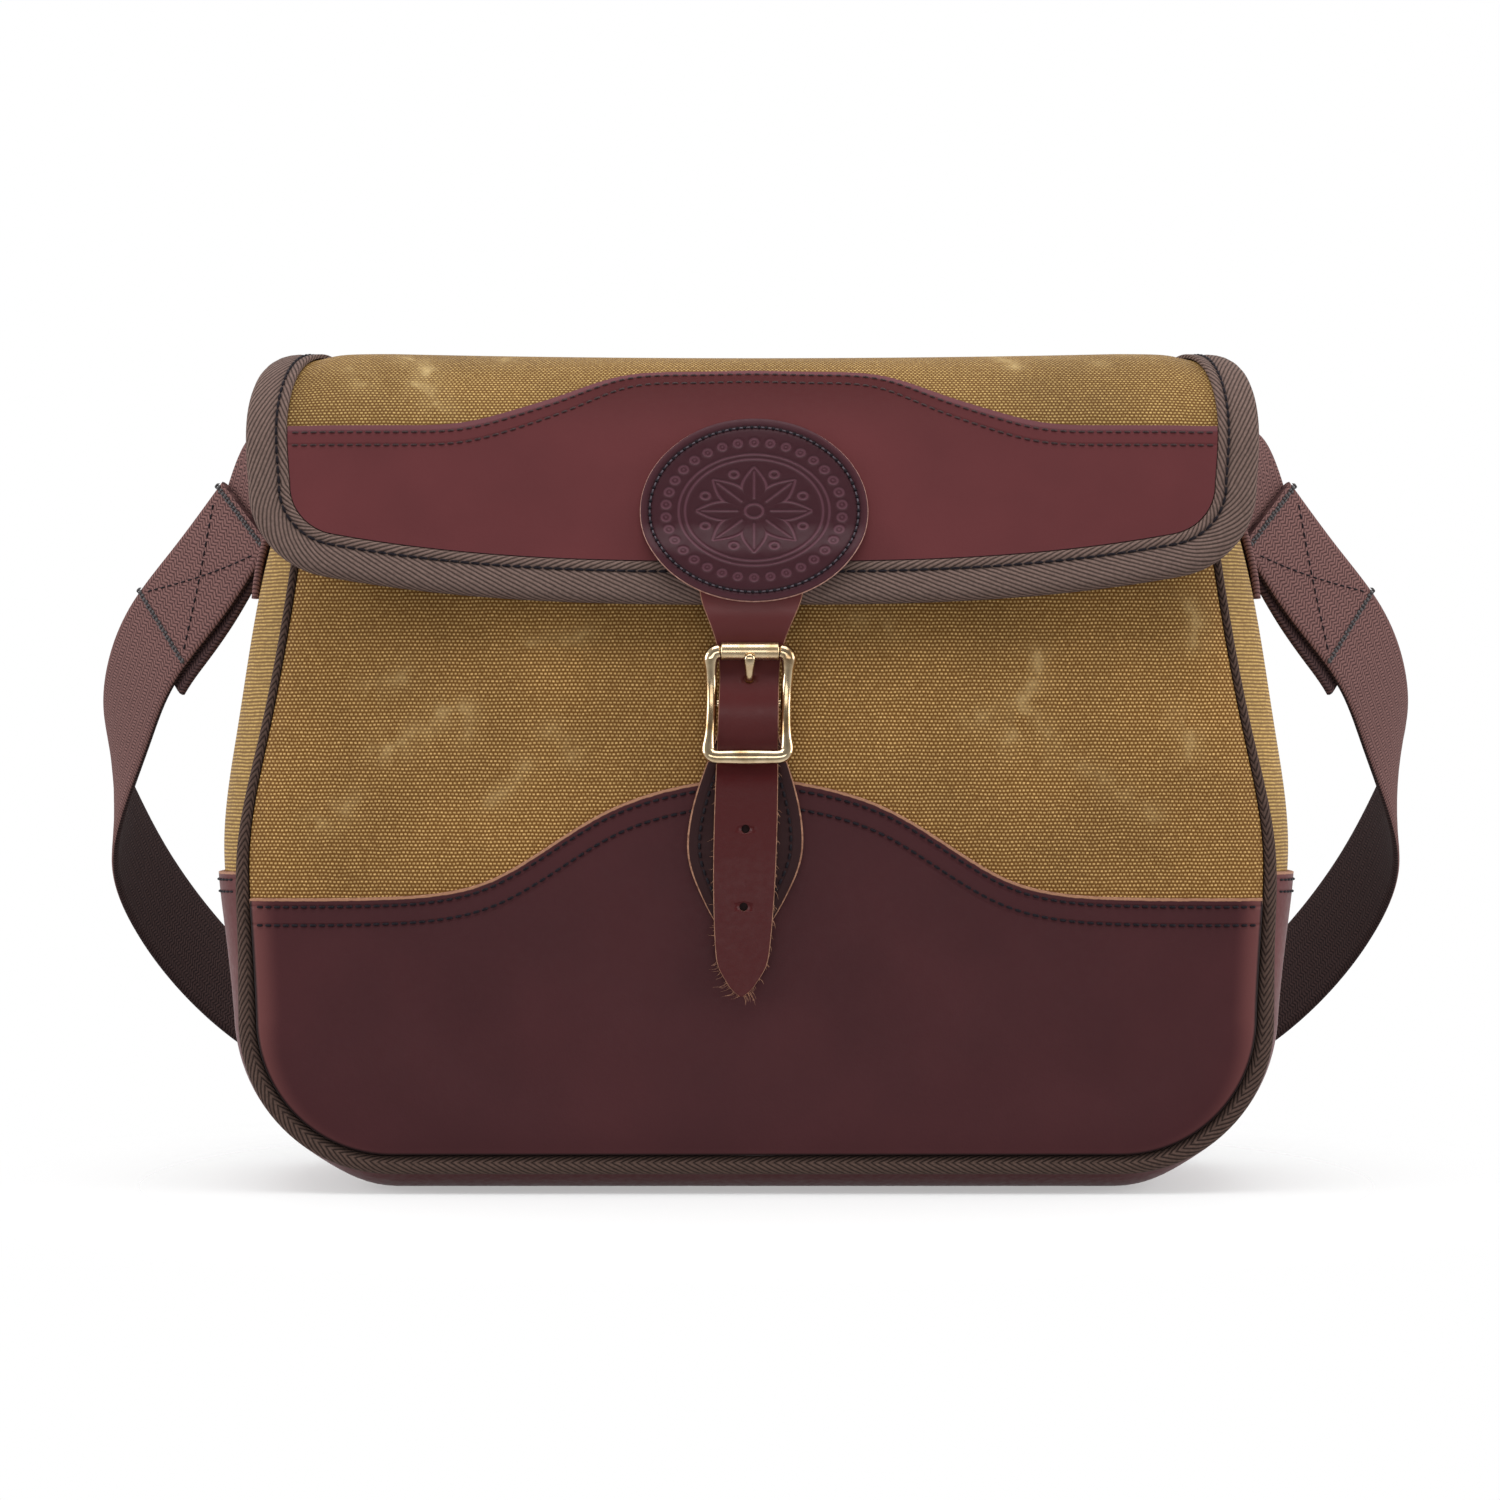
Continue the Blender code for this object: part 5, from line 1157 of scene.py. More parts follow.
def patch_relief(across, down):
    """Depth share of the pressed design, from distances in millimetres from the patch's middle.

    Two ellipses make the double ring. A petal is where the distance from its axis is under a half sine
    of the distance along it. The stamps stand evenly along an ellipse outside the ring."""
    ring = np.hypot(across / RING_HALF_WIDTH, down / RING_HALF_HEIGHT)
    ring_distance = (ring - 1) * (RING_HALF_WIDTH + RING_HALF_HEIGHT) / 2
    lines = pressed_line(ring_distance - RING_HALF_SPACING) + pressed_line(ring_distance + RING_HALF_SPACING)
    squeeze = RING_HALF_HEIGHT / RING_HALF_WIDTH
    reach = np.hypot(across * squeeze, down)
    turn = np.arctan2(down, across * squeeze)
    eighth = np.pi / 4
    fold = (turn + eighth / 2) % eighth - eighth / 2
    along = reach * np.cos(fold)
    aside = np.abs(reach * np.sin(fold))
    petal = PETAL_HALF_WIDTH * np.sin(np.pi * np.clip(along / PETAL_LENGTH, 0, 1)) - aside
    lines = lines + pressed_line(petal) * (along < PETAL_LENGTH) * (along > EYE_RADIUS)
    vein = VEIN_SHARE * pressed_line(aside) * (petal > VEIN_MARGIN) * (along > VEIN_START)
    lines = lines + pressed_line(reach - EYE_RADIUS) + vein
    between = (turn + eighth) % eighth - eighth / 2
    dot = np.hypot(reach * np.cos(between) - DOT_REACH, reach * np.sin(between))
    lines = lines + pressed_line(dot - DOT_RADIUS)
    border_across = (RING_HALF_WIDTH + PATCH_HALF_WIDTH - PATCH_ROW) / 2
    border_down = (RING_HALF_HEIGHT + PATCH_HALF_HEIGHT - PATCH_ROW) / 2
    border_turn = np.arctan2(down / border_down, across / border_across)
    step = 2 * np.pi / STAMP_COUNT
    border_speed = np.hypot(border_across * np.sin(border_turn), border_down * np.cos(border_turn))
    stamp_across = (border_turn % step - step / 2) * border_speed
    stamp_out = np.hypot(across / border_across, down / border_down) - 1
    stamp = np.hypot(stamp_across, stamp_out * (border_across + border_down) / 2)
    lines = lines + pressed_line(stamp - STAMP_RADIUS) + pressed_line(stamp, STAMP_EYE)
    return np.clip(lines, 0, 1)


def patch_at(across, down, out):
    """Point of the patch: the flap's face, raised over the strap's root at its lower edge."""
    line = PATCH_LINE + down
    lift = PATCH_LIFT * smooth_step(PATCH_LIFT_FROM, PATCH_LIFT_TO, line)
    return flap_at(PATCH_X + across, line, FLAP_LAYER_GAP + YOKE_LEATHER + GAP + lift + out)


# The pressed lines are painted lighter, a painted highlight on the relief; inside a band along its edge the
# patch is darker
patch_finish = oiled_leather("bridle_leather_patch", "#48242B", "#422128", (PATCH_ROW,), 0.46, 0.18,
                             tints=(("Z", 2.6, 0.6, "#3C1C23"), ("X", 0.95, 0.2, "#5D3842")))
patch_rim = raw_edge("leather_raw_edge_patch", "#C59A8A", "#9C6F62")
# Profile of the patch from its middle, over its edge, to its middle behind: share of its size, height
patch_profile = np.concatenate([
    join(np.linspace(0.012, 0.97, PATCH_TOP_RINGS), LEATHER),
    [(0.985, LEATHER - 0.08), (0.995, LEATHER - 0.25), (1.0, LEATHER * 0.6), (1.0, LEATHER * 0.3),
     (0.992, 0.0)],
    join(np.linspace(0.95, 0.05, 8), 0.0)])
patch_turn = np.linspace(0, 2 * np.pi, PATCH_TURNS + 1)
patch_across = PATCH_HALF_WIDTH * patch_profile[:, :1] * np.cos(patch_turn)
patch_down = PATCH_HALF_HEIGHT * patch_profile[:, :1] * np.sin(patch_turn)
patch_reach = np.hypot(PATCH_HALF_WIDTH * np.cos(patch_turn), PATCH_HALF_HEIGHT * np.sin(patch_turn))
patch_edge = (1 - np.hypot(patch_across / PATCH_HALF_WIDTH, patch_down / PATCH_HALF_HEIGHT)) * patch_reach
patch_ring = np.arange(len(patch_profile))[:, None]
patch_design = (patch_ring < PATCH_TOP_RINGS) * patch_relief(patch_across, patch_down)
patch_groove = pressed_line(patch_edge - PATCH_ROW, STITCH_GROOVE_WIDTH) * (patch_ring < PATCH_TOP_RINGS)
patch_rise = patch_profile[:, 1:] - RELIEF * patch_design - STITCH_GROOVE * patch_groove
patch_rings = patch_at(patch_across, patch_down, patch_rise)
patch_cloth = join(patch_design, patch_down, patch_edge)
patch_kinds = (patch_ring[:-1] > PATCH_TOP_RINGS) & (patch_ring[:-1] <= PATCH_TOP_RINGS + PATCH_RIM_RINGS)
oval_patch = sweep_rings("oval_patch_leather", patch_rings[:, :-1], patch_cloth, [patch_finish, patch_rim],
                         kinds=patch_kinds)
dress(oval_patch, "patch_leather", "oval_patch")

patch_thread = waxed_thread("waxed_thread_patch", "#2A2228", "#6A626C", 0.4)
half_stitch = PATCH_STITCH / 2 / (PATCH_HALF_HEIGHT - PATCH_ROW)
# Rows round the patch: name, thread, where the row starts, radius, share of the pitch
for row_name, thread, start, radius, share in (("stitches", patch_thread, 0.0, 0.28, 0.7),
                                               ("stitch_holes", stitch_thread, half_stitch, 0.5, 0.46)):
    turn = start + np.linspace(0, 2 * np.pi, PATCH_ROW_POINTS)
    patch_line = on_surface(patch_at, (PATCH_HALF_WIDTH - PATCH_ROW) * np.cos(turn),
                            (PATCH_HALF_HEIGHT - PATCH_ROW) * np.sin(turn), LEATHER - PATCH_THREAD_SINK)
    dress(new_stitches(f"oval_patch_{row_name}", [patch_line], thread, PATCH_STITCH, radius, share),
          "patch_leather")


# Closure strap: a glossy bridle leather strap, wide where it is sewn under the patch, 19 mm wide through
# the buckle, with two spare holes and a pointed tip. Its cut edges are raw and a little hairy.
STRAP_THICKNESS = 2.0
STRAP_LEAN = 0.025
STRAP_TOP = 200.5
STRAP_TIP = 66.6
STRAP_TIP_START = 90.0
# Share of the section's width where its cut edges start, and how far they stand out
STRAP_RIM_START = 0.98
STRAP_RIM_OUT = 0.15
STRAP_LEAST_HALF = 0.25
# Painted light on the strap's neck between the patch and the buckle, and a darker tail below the buckle:
# heights at which each is full and gone
STRAP_NECK_PAINTED_LIGHT = (183.0, 173.0)
STRAP_TAIL_DARK = (141.0, 150.0)
CLOSURE_X = -2.0
ROLLER_Z = 175.4
# The tongue's hole, middle and run, and the two spare holes: y, height
TONGUE_HOLE = (-59.5, 166.3)
TONGUE_HOLE_RUN = (0.0, -0.79, 0.61)
TONGUE_HOLE_RADIUS = 1.45
STRAP_HOLES = ((-62.0, 119.3), (-62.0, 94.8))
STRAP_HOLE_RADIUS = 1.35
DRILL_LENGTH = 12.0
# Closure strap: height, half width
STRAP_OUTLINE = ((200.5, 17.0), (192.0, 16.1), (184.0, 13.0), (177.0, 10.6), (171.0, 9.7), (160.0, 9.5),
                 (89.0, 9.2), (81.3, 8.6), (75.1, 7.2), (71.1, 4.8), (68.3, 2.6), (66.6, 0.4))
# Closure strap, where its back face lies: height, y
STRAP_BACK = ((200.5, -57.7), (192.0, -59.4), (187.0, -59.4), (181.0, -57.4), (175.4, -55.7), (170.0, -56.6),
              (159.0, -60.2), (150.0, -59.2), (142.0, -57.7), (136.0, -59.1), (130.0, -59.8), (110.0, -61.3),
              (90.0, -61.8), (66.6, -61.8))
# Section of a strap: share across, share of the thickness
STRAP_SECTION = ((-0.97, 1.0), (-0.7, 1.0), (-0.35, 1.0), (0.0, 1.0), (0.35, 1.0), (0.7, 1.0), (0.97, 1.0),
                 (1.0, 0.8), (1.0, 0.5), (1.0, 0.2), (0.97, 0.0), (0.5, 0.0), (0.0, 0.0), (-0.5, 0.0),
                 (-0.97, 0.0), (-1.0, 0.2), (-1.0, 0.5), (-1.0, 0.8))
SECTION_EDGES = (6, 7, 8, 9, 14, 15, 16, 17)


def lean(z):
    """The closure hangs slightly to the left as it goes down."""
    return CLOSURE_X + STRAP_LEAN * (z - ROLLER_Z)


def section_kinds(count):
    """Material numbers round the strap's section: one on the cut edges, nought on the faces."""
    kinds = np.zeros((count - 1, len(STRAP_SECTION)), int)
    kinds[:, SECTION_EDGES] = 1
    return kinds


def rod(middle, axis, radius, length, sides=24):
    """Rings of a round bar that isn't upright: circles square to its axis at its two ends."""
    axis = unit(np.asarray(axis, float))
    side = unit(np.cross(axis, (0.0, 0.0, 1.0)))
    turn = np.linspace(0, 2 * np.pi, sides, endpoint=False)[:, None]
    ring = radius * (np.cos(turn) * side + np.sin(turn) * np.cross(axis, side))
    return np.asarray(middle) + np.array([-0.5, 0.5])[:, None, None] * length * axis + ring


def bore(piece, holes, material):
    """Cut round holes through a piece. A hole's wall takes the material of the cut edge."""
    for middle, axis, radius in holes:
        rings = rod(middle, axis, radius, DRILL_LENGTH)
        cutter = sweep_rings("hole_cutter", rings, np.zeros((2, rings.shape[1] + 1, 3)), [material])
        cut = piece.modifiers.new("hole", "BOOLEAN")
        cut.object = cutter
        cut.operation = "DIFFERENCE"
        cut.material_mode = "TRANSFER"
        bpy.context.view_layer.update()
        drawn = piece.evaluated_get(bpy.context.evaluated_depsgraph_get())
        drilled = bpy.data.meshes.new_from_object(drawn)
        piece.modifiers.clear()
        piece.data = drilled
        bpy.data.objects.remove(cutter)


strap_leather = oiled_leather("bridle_leather_strap", "#592828", "#512424", (), 0.34, 0.18,
                              tints=(("Z", *STRAP_NECK_PAINTED_LIGHT, "#653333"), ("Z", *STRAP_TAIL_DARK, "#491516")))
strap_z = np.concatenate([np.linspace(STRAP_TOP, STRAP_TIP_START, 130),
                          STRAP_TIP + (STRAP_TIP_START - STRAP_TIP) * np.linspace(1, 0, 40)[1:] ** 1.3])
strap_section = np.array(STRAP_SECTION)
strap_half = np.clip(read_table(STRAP_OUTLINE[::-1], strap_z), STRAP_LEAST_HALF, None)[:, None]
strap_share = np.clip(strap_section[:, 0], -STRAP_RIM_START, STRAP_RIM_START)
strap_rim = STRAP_RIM_OUT * np.sign(strap_share) * (np.abs(strap_section[:, 0]) > STRAP_RIM_START)
strap_x = lean(strap_z)[:, None] + strap_half * strap_share + strap_rim
strap_y = read_table(STRAP_BACK[::-1], strap_z)[:, None] - STRAP_THICKNESS * strap_section[:, 1]
strap_rings = join(strap_x, strap_y, strap_z[:, None])
strap_cloth = np.concatenate([strap_rings, strap_rings[:, :1]], axis=1)
closure_strap = sweep_rings("closure_strap_leather", strap_rings, strap_cloth, [strap_leather, leather_edge],
                            kinds=section_kinds(len(strap_z)))
strap_holes = [((lean(z), y, z), (0, 1, 0), STRAP_HOLE_RADIUS) for y, z in STRAP_HOLES]
strap_holes.append(((lean(TONGUE_HOLE[1]), *TONGUE_HOLE), TONGUE_HOLE_RUN, TONGUE_HOLE_RADIUS))
bore(closure_strap, strap_holes, leather_edge)
dress(closure_strap, "bridle_leather", "closure_strap")


# Loose fibres: fine hairs of leather that stand off the cut edges of the strap, most of all at the tip.
FIBRE_COUNT = 130
FIBRE_RADIUS = 0.09
FIBRE_SIDES = 3
FIBRE_TAPER = 0.75
FIBRE_BOW = 0.45
# The fibres' lowest root, the height over which they grow, and the power that crowds them at the tip
FIBRE_FOOT = 66.8
FIBRE_SPAN = 118.0
FIBRE_CROWDING = 2.4
# A root's depth in shares of the strap's thickness: the least, and the range above it
FIBRE_LEAST_DEEP = 0.3
FIBRE_DEEP = 0.6
# A fibre's reach: the least, and the range above it, twice as long at the tip
FIBRE_LEAST_REACH = 0.5
FIBRE_REACH = 1.7
FIBRE_TIP_SPAN = (100.0, 70.0)


def new_fibres(name, roots, runs, material):
    """Thin tapering hairs of three sides: from the root, the run's length, with a sideways bow."""
    share = np.linspace(0, 1, 5)
    bow = np.cross(runs, (0.0, -1.0, 0.0)) * FIBRE_BOW
    line = (roots[:, None] + runs[:, None] * share[None, :, None]
            + bow[:, None] * (share ** 2)[None, :, None])
    turn = np.linspace(0, 2 * np.pi, FIBRE_SIDES, endpoint=False)
    girth = (FIBRE_RADIUS * (1 - FIBRE_TAPER * share))[None, :, None, None]
    ring = join(np.cos(turn), np.sin(turn), 0.5 * np.sin(turn))[None, None]
    points = (line[:, :, None] + girth * ring).reshape(len(roots), -1, 3)
    return new_tubes(name, points, FIBRE_SIDES, material)


fibre_finish = raw_edge("leather_fibre", "#B98A6C", "#8A5E46")
chance = np.random.default_rng(11)
fibre_z = FIBRE_FOOT + FIBRE_SPAN * chance.random(FIBRE_COUNT) ** FIBRE_CROWDING
fibre_side = chance.choice([-1.0, 1.0], FIBRE_COUNT)
fibre_half = read_table(STRAP_OUTLINE[::-1], fibre_z)
fibre_inward = STRAP_THICKNESS * (FIBRE_LEAST_DEEP + FIBRE_DEEP * chance.random(FIBRE_COUNT))
fibre_depth = read_table(STRAP_BACK[::-1], fibre_z) - fibre_inward
fibre_roots = join(lean(fibre_z) + fibre_side * fibre_half, fibre_depth, fibre_z)
at_tip = smooth_step(*FIBRE_TIP_SPAN, fibre_z)
fibre_reach = FIBRE_LEAST_REACH + FIBRE_REACH * chance.random(FIBRE_COUNT) ** 2 * (1 + at_tip)
fibre_out = fibre_side * (0.4 + 0.6 * chance.random(FIBRE_COUNT))
fibre_forward = -0.3 * chance.random(FIBRE_COUNT)
fibre_up = -1.0 + 0.9 * chance.random(FIBRE_COUNT)
fibre_runs = join(fibre_out, fibre_forward, fibre_up) * fibre_reach[:, None]
dress(new_fibres("closure_strap_fibres", fibre_roots, fibre_runs, fibre_finish), "bridle_leather")


# Buckle leather: a leaf of dark leather sewn to the front, pointed at its foot. Its narrow top goes
# through the buckle round the middle bar and tucks in behind.
CENTRE_BAR_Z = 159.0
CENTRE_BAR_Y = -56.2
CENTRE_BAR_RADIUS = 1.5
KEEPER_ROW = 3.9
KEEPER_STITCH = 2.8
KEEPER_LEAST_HALF = 0.3
# Heights between which the leaf's rows of thread run
LEAF_ROW_SPAN = (137.0, 84.5)
KEEPER_STATIONS = 150
# Station and table row from which the leaf follows a smooth curve, below the loop round the bar
KEEPER_SMOOTH_FROM = 40
KEEPER_SMOOTH_ROW = 15
# Middle layer of the leaf from the cut end behind the bar's loop down to its point: y, height, half width
KEEPER_TAIL = ((-54.2, 148.5, 9.3), (-53.6, 156.0, 9.3))
KEEPER_LEAF = ((-58.8, 156.5, 9.3), (-57.2, 150.0, 9.6), (-56.0, 144.0, 11.4), (-56.8, 139.5, 12.9),
               (-57.7, 135.8, 14.2), (-58.3, 130.0, 16.0), (-59.3, 120.0, 18.0), (-59.9, 110.0, 17.9),
               (-60.3, 100.0, 14.4), (-60.4, 90.0, 9.0), (-60.4, 82.0, 3.6), (-60.4, 77.8, 0.6))

keeper_leather = oiled_leather("harness_leather_leaf", "#341F20", "#2E1B1C", (KEEPER_ROW,))
wrap_turn = np.radians(np.linspace(0, 180, 14))
wrap_radius = CENTRE_BAR_RADIUS + GAP + LEATHER / 2
keeper_wrap = join(CENTRE_BAR_Y + wrap_radius * np.cos(wrap_turn),
                   CENTRE_BAR_Z + wrap_radius * np.sin(wrap_turn), KEEPER_TAIL[0][2])
keeper_rows = np.concatenate([KEEPER_TAIL, keeper_wrap, KEEPER_LEAF])
keeper_reach = lengths_along(keeper_rows[:, :2])
keeper_where = np.linspace(0, keeper_reach[-1], KEEPER_STATIONS)
keeper_route = read_line(keeper_where, keeper_reach, keeper_rows)
leaf_reach = keeper_reach[KEEPER_SMOOTH_ROW:]
leaf_where = np.clip(keeper_where[KEEPER_SMOOTH_FROM:], leaf_reach[0], None)
keeper_route[KEEPER_SMOOTH_FROM:] = spline(leaf_reach, keeper_rows[KEEPER_SMOOTH_ROW:], leaf_where)
keeper_run = unit(np.gradient(keeper_route[:, :2], axis=0))
keeper_half = np.clip(keeper_route[:, 2:], KEEPER_LEAST_HALF, None)
keeper_depth = LEATHER * (strap_section[:, 1] - 0.5)
keeper_x = lean(keeper_route[:, 1:2]) + keeper_half * strap_section[:, 0]
keeper_y = keeper_route[:, :1] + keeper_run[:, 1:] * keeper_depth
keeper_z = keeper_route[:, 1:2] - keeper_run[:, :1] * keeper_depth
keeper_rings = join(keeper_x, keeper_y, keeper_z)
keeper_cloth = join(keeper_x, keeper_z, keeper_half * (1 - np.abs(strap_section[:, 0])))
keeper_cloth = np.concatenate([keeper_cloth, keeper_cloth[:, :1]], axis=1)
buckle_leather = sweep_rings("buckle_leather_leaf", keeper_rings, keeper_cloth,
                             [keeper_leather, leather_edge], kinds=section_kinds(len(keeper_route)))
dress(buckle_leather, "bridle_leather", "buckle_leather")

leaf_z = np.linspace(*LEAF_ROW_SPAN, 160)
leaf_table = np.array(KEEPER_LEAF)[::-1]
leaf_half = read_table(leaf_table[:, 1:], leaf_z)
leaf_slant = np.hypot(1, np.gradient(leaf_half, leaf_z))
leaf_y = read_table(leaf_table[:, 1::-1], leaf_z) - LEATHER / 2
leaf_line_x = np.clip(leaf_half - KEEPER_ROW * leaf_slant, 0.4, None)
leaf_lines = []
for side in (-1, 1):
    line = join(lean(leaf_z) + side * leaf_line_x, leaf_y, leaf_z)
    leaf_lines.append((line, np.tile((0.0, -1.0, 0.0), (len(leaf_z), 1))))
dress(new_stitches("buckle_leather_stitches", leaf_lines, stitch_thread, KEEPER_STITCH), "bridle_leather")


# Buckle: polished pale brass. A cast frame with a loose roller on its top bar, a bar across its middle
# and a tongue that turns on that bar, goes through the strap and rests on the roller.
ROLLER_Y = -60.9
CENTRE_BAR_LENGTH = 23.6
BOTTOM_BAR_Z = 142.0
BOTTOM_BAR_Y = -62.6
FRAME_HALF_WIDTH = 12.4
FRAME_WAIST = 0.65
FRAME_WAIST_Y = -59.2
FRAME_CORNER = 2.6
FRAME_FOOT_FLARE = 0.1
FRAME_SIDE_HEIGHTS = (169.0, 164.0, 159.0, 154.0, 149.0)
# The frame's two radii, in its plane and out of it, at its shoulders, sides, feet and bottom bar
FRAME_SHOULDER = (2.5, 2.5)
FRAME_SIDE = (1.75, 1.9)
FRAME_FOOT = (2.2, 1.7)
FRAME_BOTTOM = (2.4, 1.7)
# Top bar: distance from the middle, and the two radii
FRAME_TOP = ((0.0, 1.2, 1.2), (9.25, 1.2, 1.2), (9.45, 2.0, 2.1), (9.7, 2.6, 2.5))
FRAME_STATIONS = 220
FRAME_SIDES = 20
# Distance from the middle over which the top bar, thin inside the roller, grows to the frame's size
OFF_ROLLER = (9.4, 10.2)
SMOOTH_COUNT = 7
TONGUE_RING_RADIUS = 3.3
TONGUE_RING_LENGTH = 3.6
TONGUE_STATIONS = 50
TONGUE_SIDES = 16
TONGUE_TIP_START = 0.9
TONGUE_PLAY = 0.15
# Tongue from the middle bar's ring to its tip on the roller: y, height, half width, half thickness
TONGUE_PATH = ((-57.0, 161.2, 1.0, 0.7), (-57.3, 164.0, 1.0, 0.7), (-58.6, 165.5, 1.25, 0.9),
               (-60.5, 167.1, 1.35, 1.0), (-62.7, 169.7, 1.45, 0.9), (-64.5, 172.6, 1.65, 0.8),
               (-64.9, 174.4, 1.6, 0.7))


def polished_brass(name, bright, dull, smooth):
    """Cast brass, tumbled and polished: pale gold, a few soft clouds of tarnish and fine scratches."""
    material, tree, shader = new_material(name)
    place = add_node(tree, "ShaderNodeTexCoord").outputs["Object"]
    cloud = add_node(tree, "ShaderNodeTexNoise", None, {"Vector": place, "Scale": 160.0, "Detail": 4.0})
    level = add_node(tree, "ShaderNodeMapRange", None, {"Value": cloud, "From Min": 0.4, "From Max": 0.75})
    colour = add_node(tree, "ShaderNodeMix", {"data_type": "RGBA"},
                      {0: level, 6: linear(bright), 7: linear(dull)})
    tree.links.new(colour.outputs[2], shader.inputs["Base Color"])
    rough = add_node(tree, "ShaderNodeMapRange", None,
                     {"Value": level, "To Min": smooth, "To Max": smooth + 0.12})
    tree.links.new(rough.outputs[0], shader.inputs["Roughness"])
    scratch = add_node(tree, "ShaderNodeTexNoise", None, {"Vector": place, "Scale": 700.0, "Detail": 3.0})
    bump = add_node(tree, "ShaderNodeBump", None, {"Height": scratch, "Distance": 0.03 * MM, "Strength": 0.4})
    tree.links.new(bump.outputs[0], shader.inputs["Normal"])
    shader.inputs["Metallic"].default_value = 1.0
    return material


def frame_half():
    """Right half of the frame's middle line from mid top: x from the middle, height, and the two radii."""
    side_z = np.array(FRAME_SIDE_HEIGHTS)
    waist = np.sin(np.pi * (side_z - BOTTOM_BAR_Z) / (ROLLER_Z - BOTTOM_BAR_Z)) ** 2
    side_x = FRAME_HALF_WIDTH - FRAME_WAIST * waist
    top_x = FRAME_HALF_WIDTH - FRAME_CORNER
    top_z = ROLLER_Z - FRAME_CORNER
    foot_x = FRAME_HALF_WIDTH + FRAME_FOOT_FLARE - FRAME_CORNER
    foot_z = BOTTOM_BAR_Z + FRAME_CORNER
    rows = [(x, ROLLER_Z, *radii) for x, *radii in FRAME_TOP]
    rows += [(top_x + FRAME_CORNER * np.sin(turn), top_z + FRAME_CORNER * np.cos(turn), *FRAME_SHOULDER)
             for turn in np.radians([30, 60, 90])]
    rows += [(x, z, *FRAME_SIDE) for x, z in zip(side_x, side_z)]
    rows += [(foot_x + FRAME_CORNER * np.cos(turn), foot_z - FRAME_CORNER * np.sin(turn), *FRAME_FOOT)
             for turn in np.radians([0, 30, 60, 90])]
    return np.array(rows + [(0.0, BOTTOM_BAR_Z, *FRAME_BOTTOM)])


brass = polished_brass("polished_brass_cast", "#EAD2AC", "#9C7A50", 0.12)
rolled_brass = polished_brass("polished_brass_rolled", "#E6CDA6", "#A88658", 0.26)
half_rows = frame_half()
loop_rows = np.concatenate([half_rows, half_rows[-2:0:-1] * (-1, 1, 1, 1)])
wrapped_rows = np.concatenate([loop_rows[-3:], loop_rows, loop_rows[:4]])
wrapped_reach = lengths_along(wrapped_rows[:, :2])
loop_where = np.linspace(wrapped_reach[3], wrapped_reach[-4], FRAME_STATIONS, endpoint=False)
loop_where = np.sort(np.concatenate([loop_where, wrapped_reach[4:-4]]))
frame_rows = read_line(loop_where, wrapped_reach, wrapped_rows)
kernel = np.ones(SMOOTH_COUNT) / SMOOTH_COUNT
smoothed = np.concatenate([frame_rows[-12:], frame_rows, frame_rows[:12]])
smoothed = np.stack([np.convolve(column, kernel, "same") for column in smoothed.T], axis=-1)[12:-12]
off_roller = smooth_step(*OFF_ROLLER, np.abs(frame_rows[:, 0]))[:, None]
off_roller = np.maximum(off_roller, frame_rows[:, 1:2] < ROLLER_Z - 1)
frame_rows = frame_rows + off_roller * (smoothed - frame_rows)
frame_heights = (BOTTOM_BAR_Z, CENTRE_BAR_Z, ROLLER_Z - FRAME_CORNER)
frame_y = spline(frame_heights, (BOTTOM_BAR_Y, FRAME_WAIST_Y, ROLLER_Y),
                 np.clip(frame_rows[:, 1], frame_heights[0], frame_heights[-1]))[:, None]
frame_run = unit((np.roll(frame_rows, -1, axis=0) - np.roll(frame_rows, 1, axis=0))[:, :2])
frame_turn = np.linspace(0, 2 * np.pi, FRAME_SIDES, endpoint=False)
frame_wide = frame_rows[:, 2:3] * np.cos(frame_turn)
frame_rings = join(frame_rows[:, :1] + lean(frame_rows[:, 1:2]) - frame_run[:, 1:] * frame_wide,
                   frame_y + frame_rows[:, 3:4] * np.sin(frame_turn),
                   frame_rows[:, 1:2] + frame_run[:, :1] * frame_wide)


def plain_cloth(rings, closed=False):
    """Cloth values of nought for a piece whose material doesn't follow its surface."""
    return np.zeros((rings.shape[0] + closed, rings.shape[1] + 1, 3))


dress(sweep_rings("buckle_frame_brass", frame_rings, plain_cloth(frame_rings, True), [brass], closed=True),
      "polished_brass", "buckle_frame")
bar_rings = rod((lean(CENTRE_BAR_Z), CENTRE_BAR_Y, CENTRE_BAR_Z), (1, 0, 0), CENTRE_BAR_RADIUS,
                CENTRE_BAR_LENGTH)
dress(sweep_rings("buckle_bar_brass", bar_rings, plain_cloth(bar_rings), [brass]), "polished_brass")

ROLLER_SIDES = 48
# The roller's section along its axis: distance along, radius. It is one closed outline with round lips.
ROLLER_OUTLINE = ((-9.2, 2.3), (-9.1, 2.65), (-8.8, 2.84), (-8.0, 2.84), (0.0, 2.84), (8.0, 2.84),
                  (8.8, 2.84), (9.1, 2.65), (9.2, 2.3), (9.2, 1.8), (9.0, 1.5), (0.0, 1.5), (-9.0, 1.5),
                  (-9.2, 1.8))
roller_outline = np.array(ROLLER_OUTLINE)
roller_turn = np.linspace(0, 2 * np.pi, ROLLER_SIDES, endpoint=False)[:, None]
roller_rings = join(lean(ROLLER_Z) + roller_outline[:, 0],
                    ROLLER_Y + np.cos(roller_turn) * roller_outline[:, 1],
                    ROLLER_Z + np.sin(roller_turn) * roller_outline[:, 1])
buckle_roller = sweep_rings("buckle_roller_brass", roller_rings, plain_cloth(roller_rings, True),
                            [rolled_brass], closed=True)
dress(buckle_roller, "polished_brass", "buckle_roller")

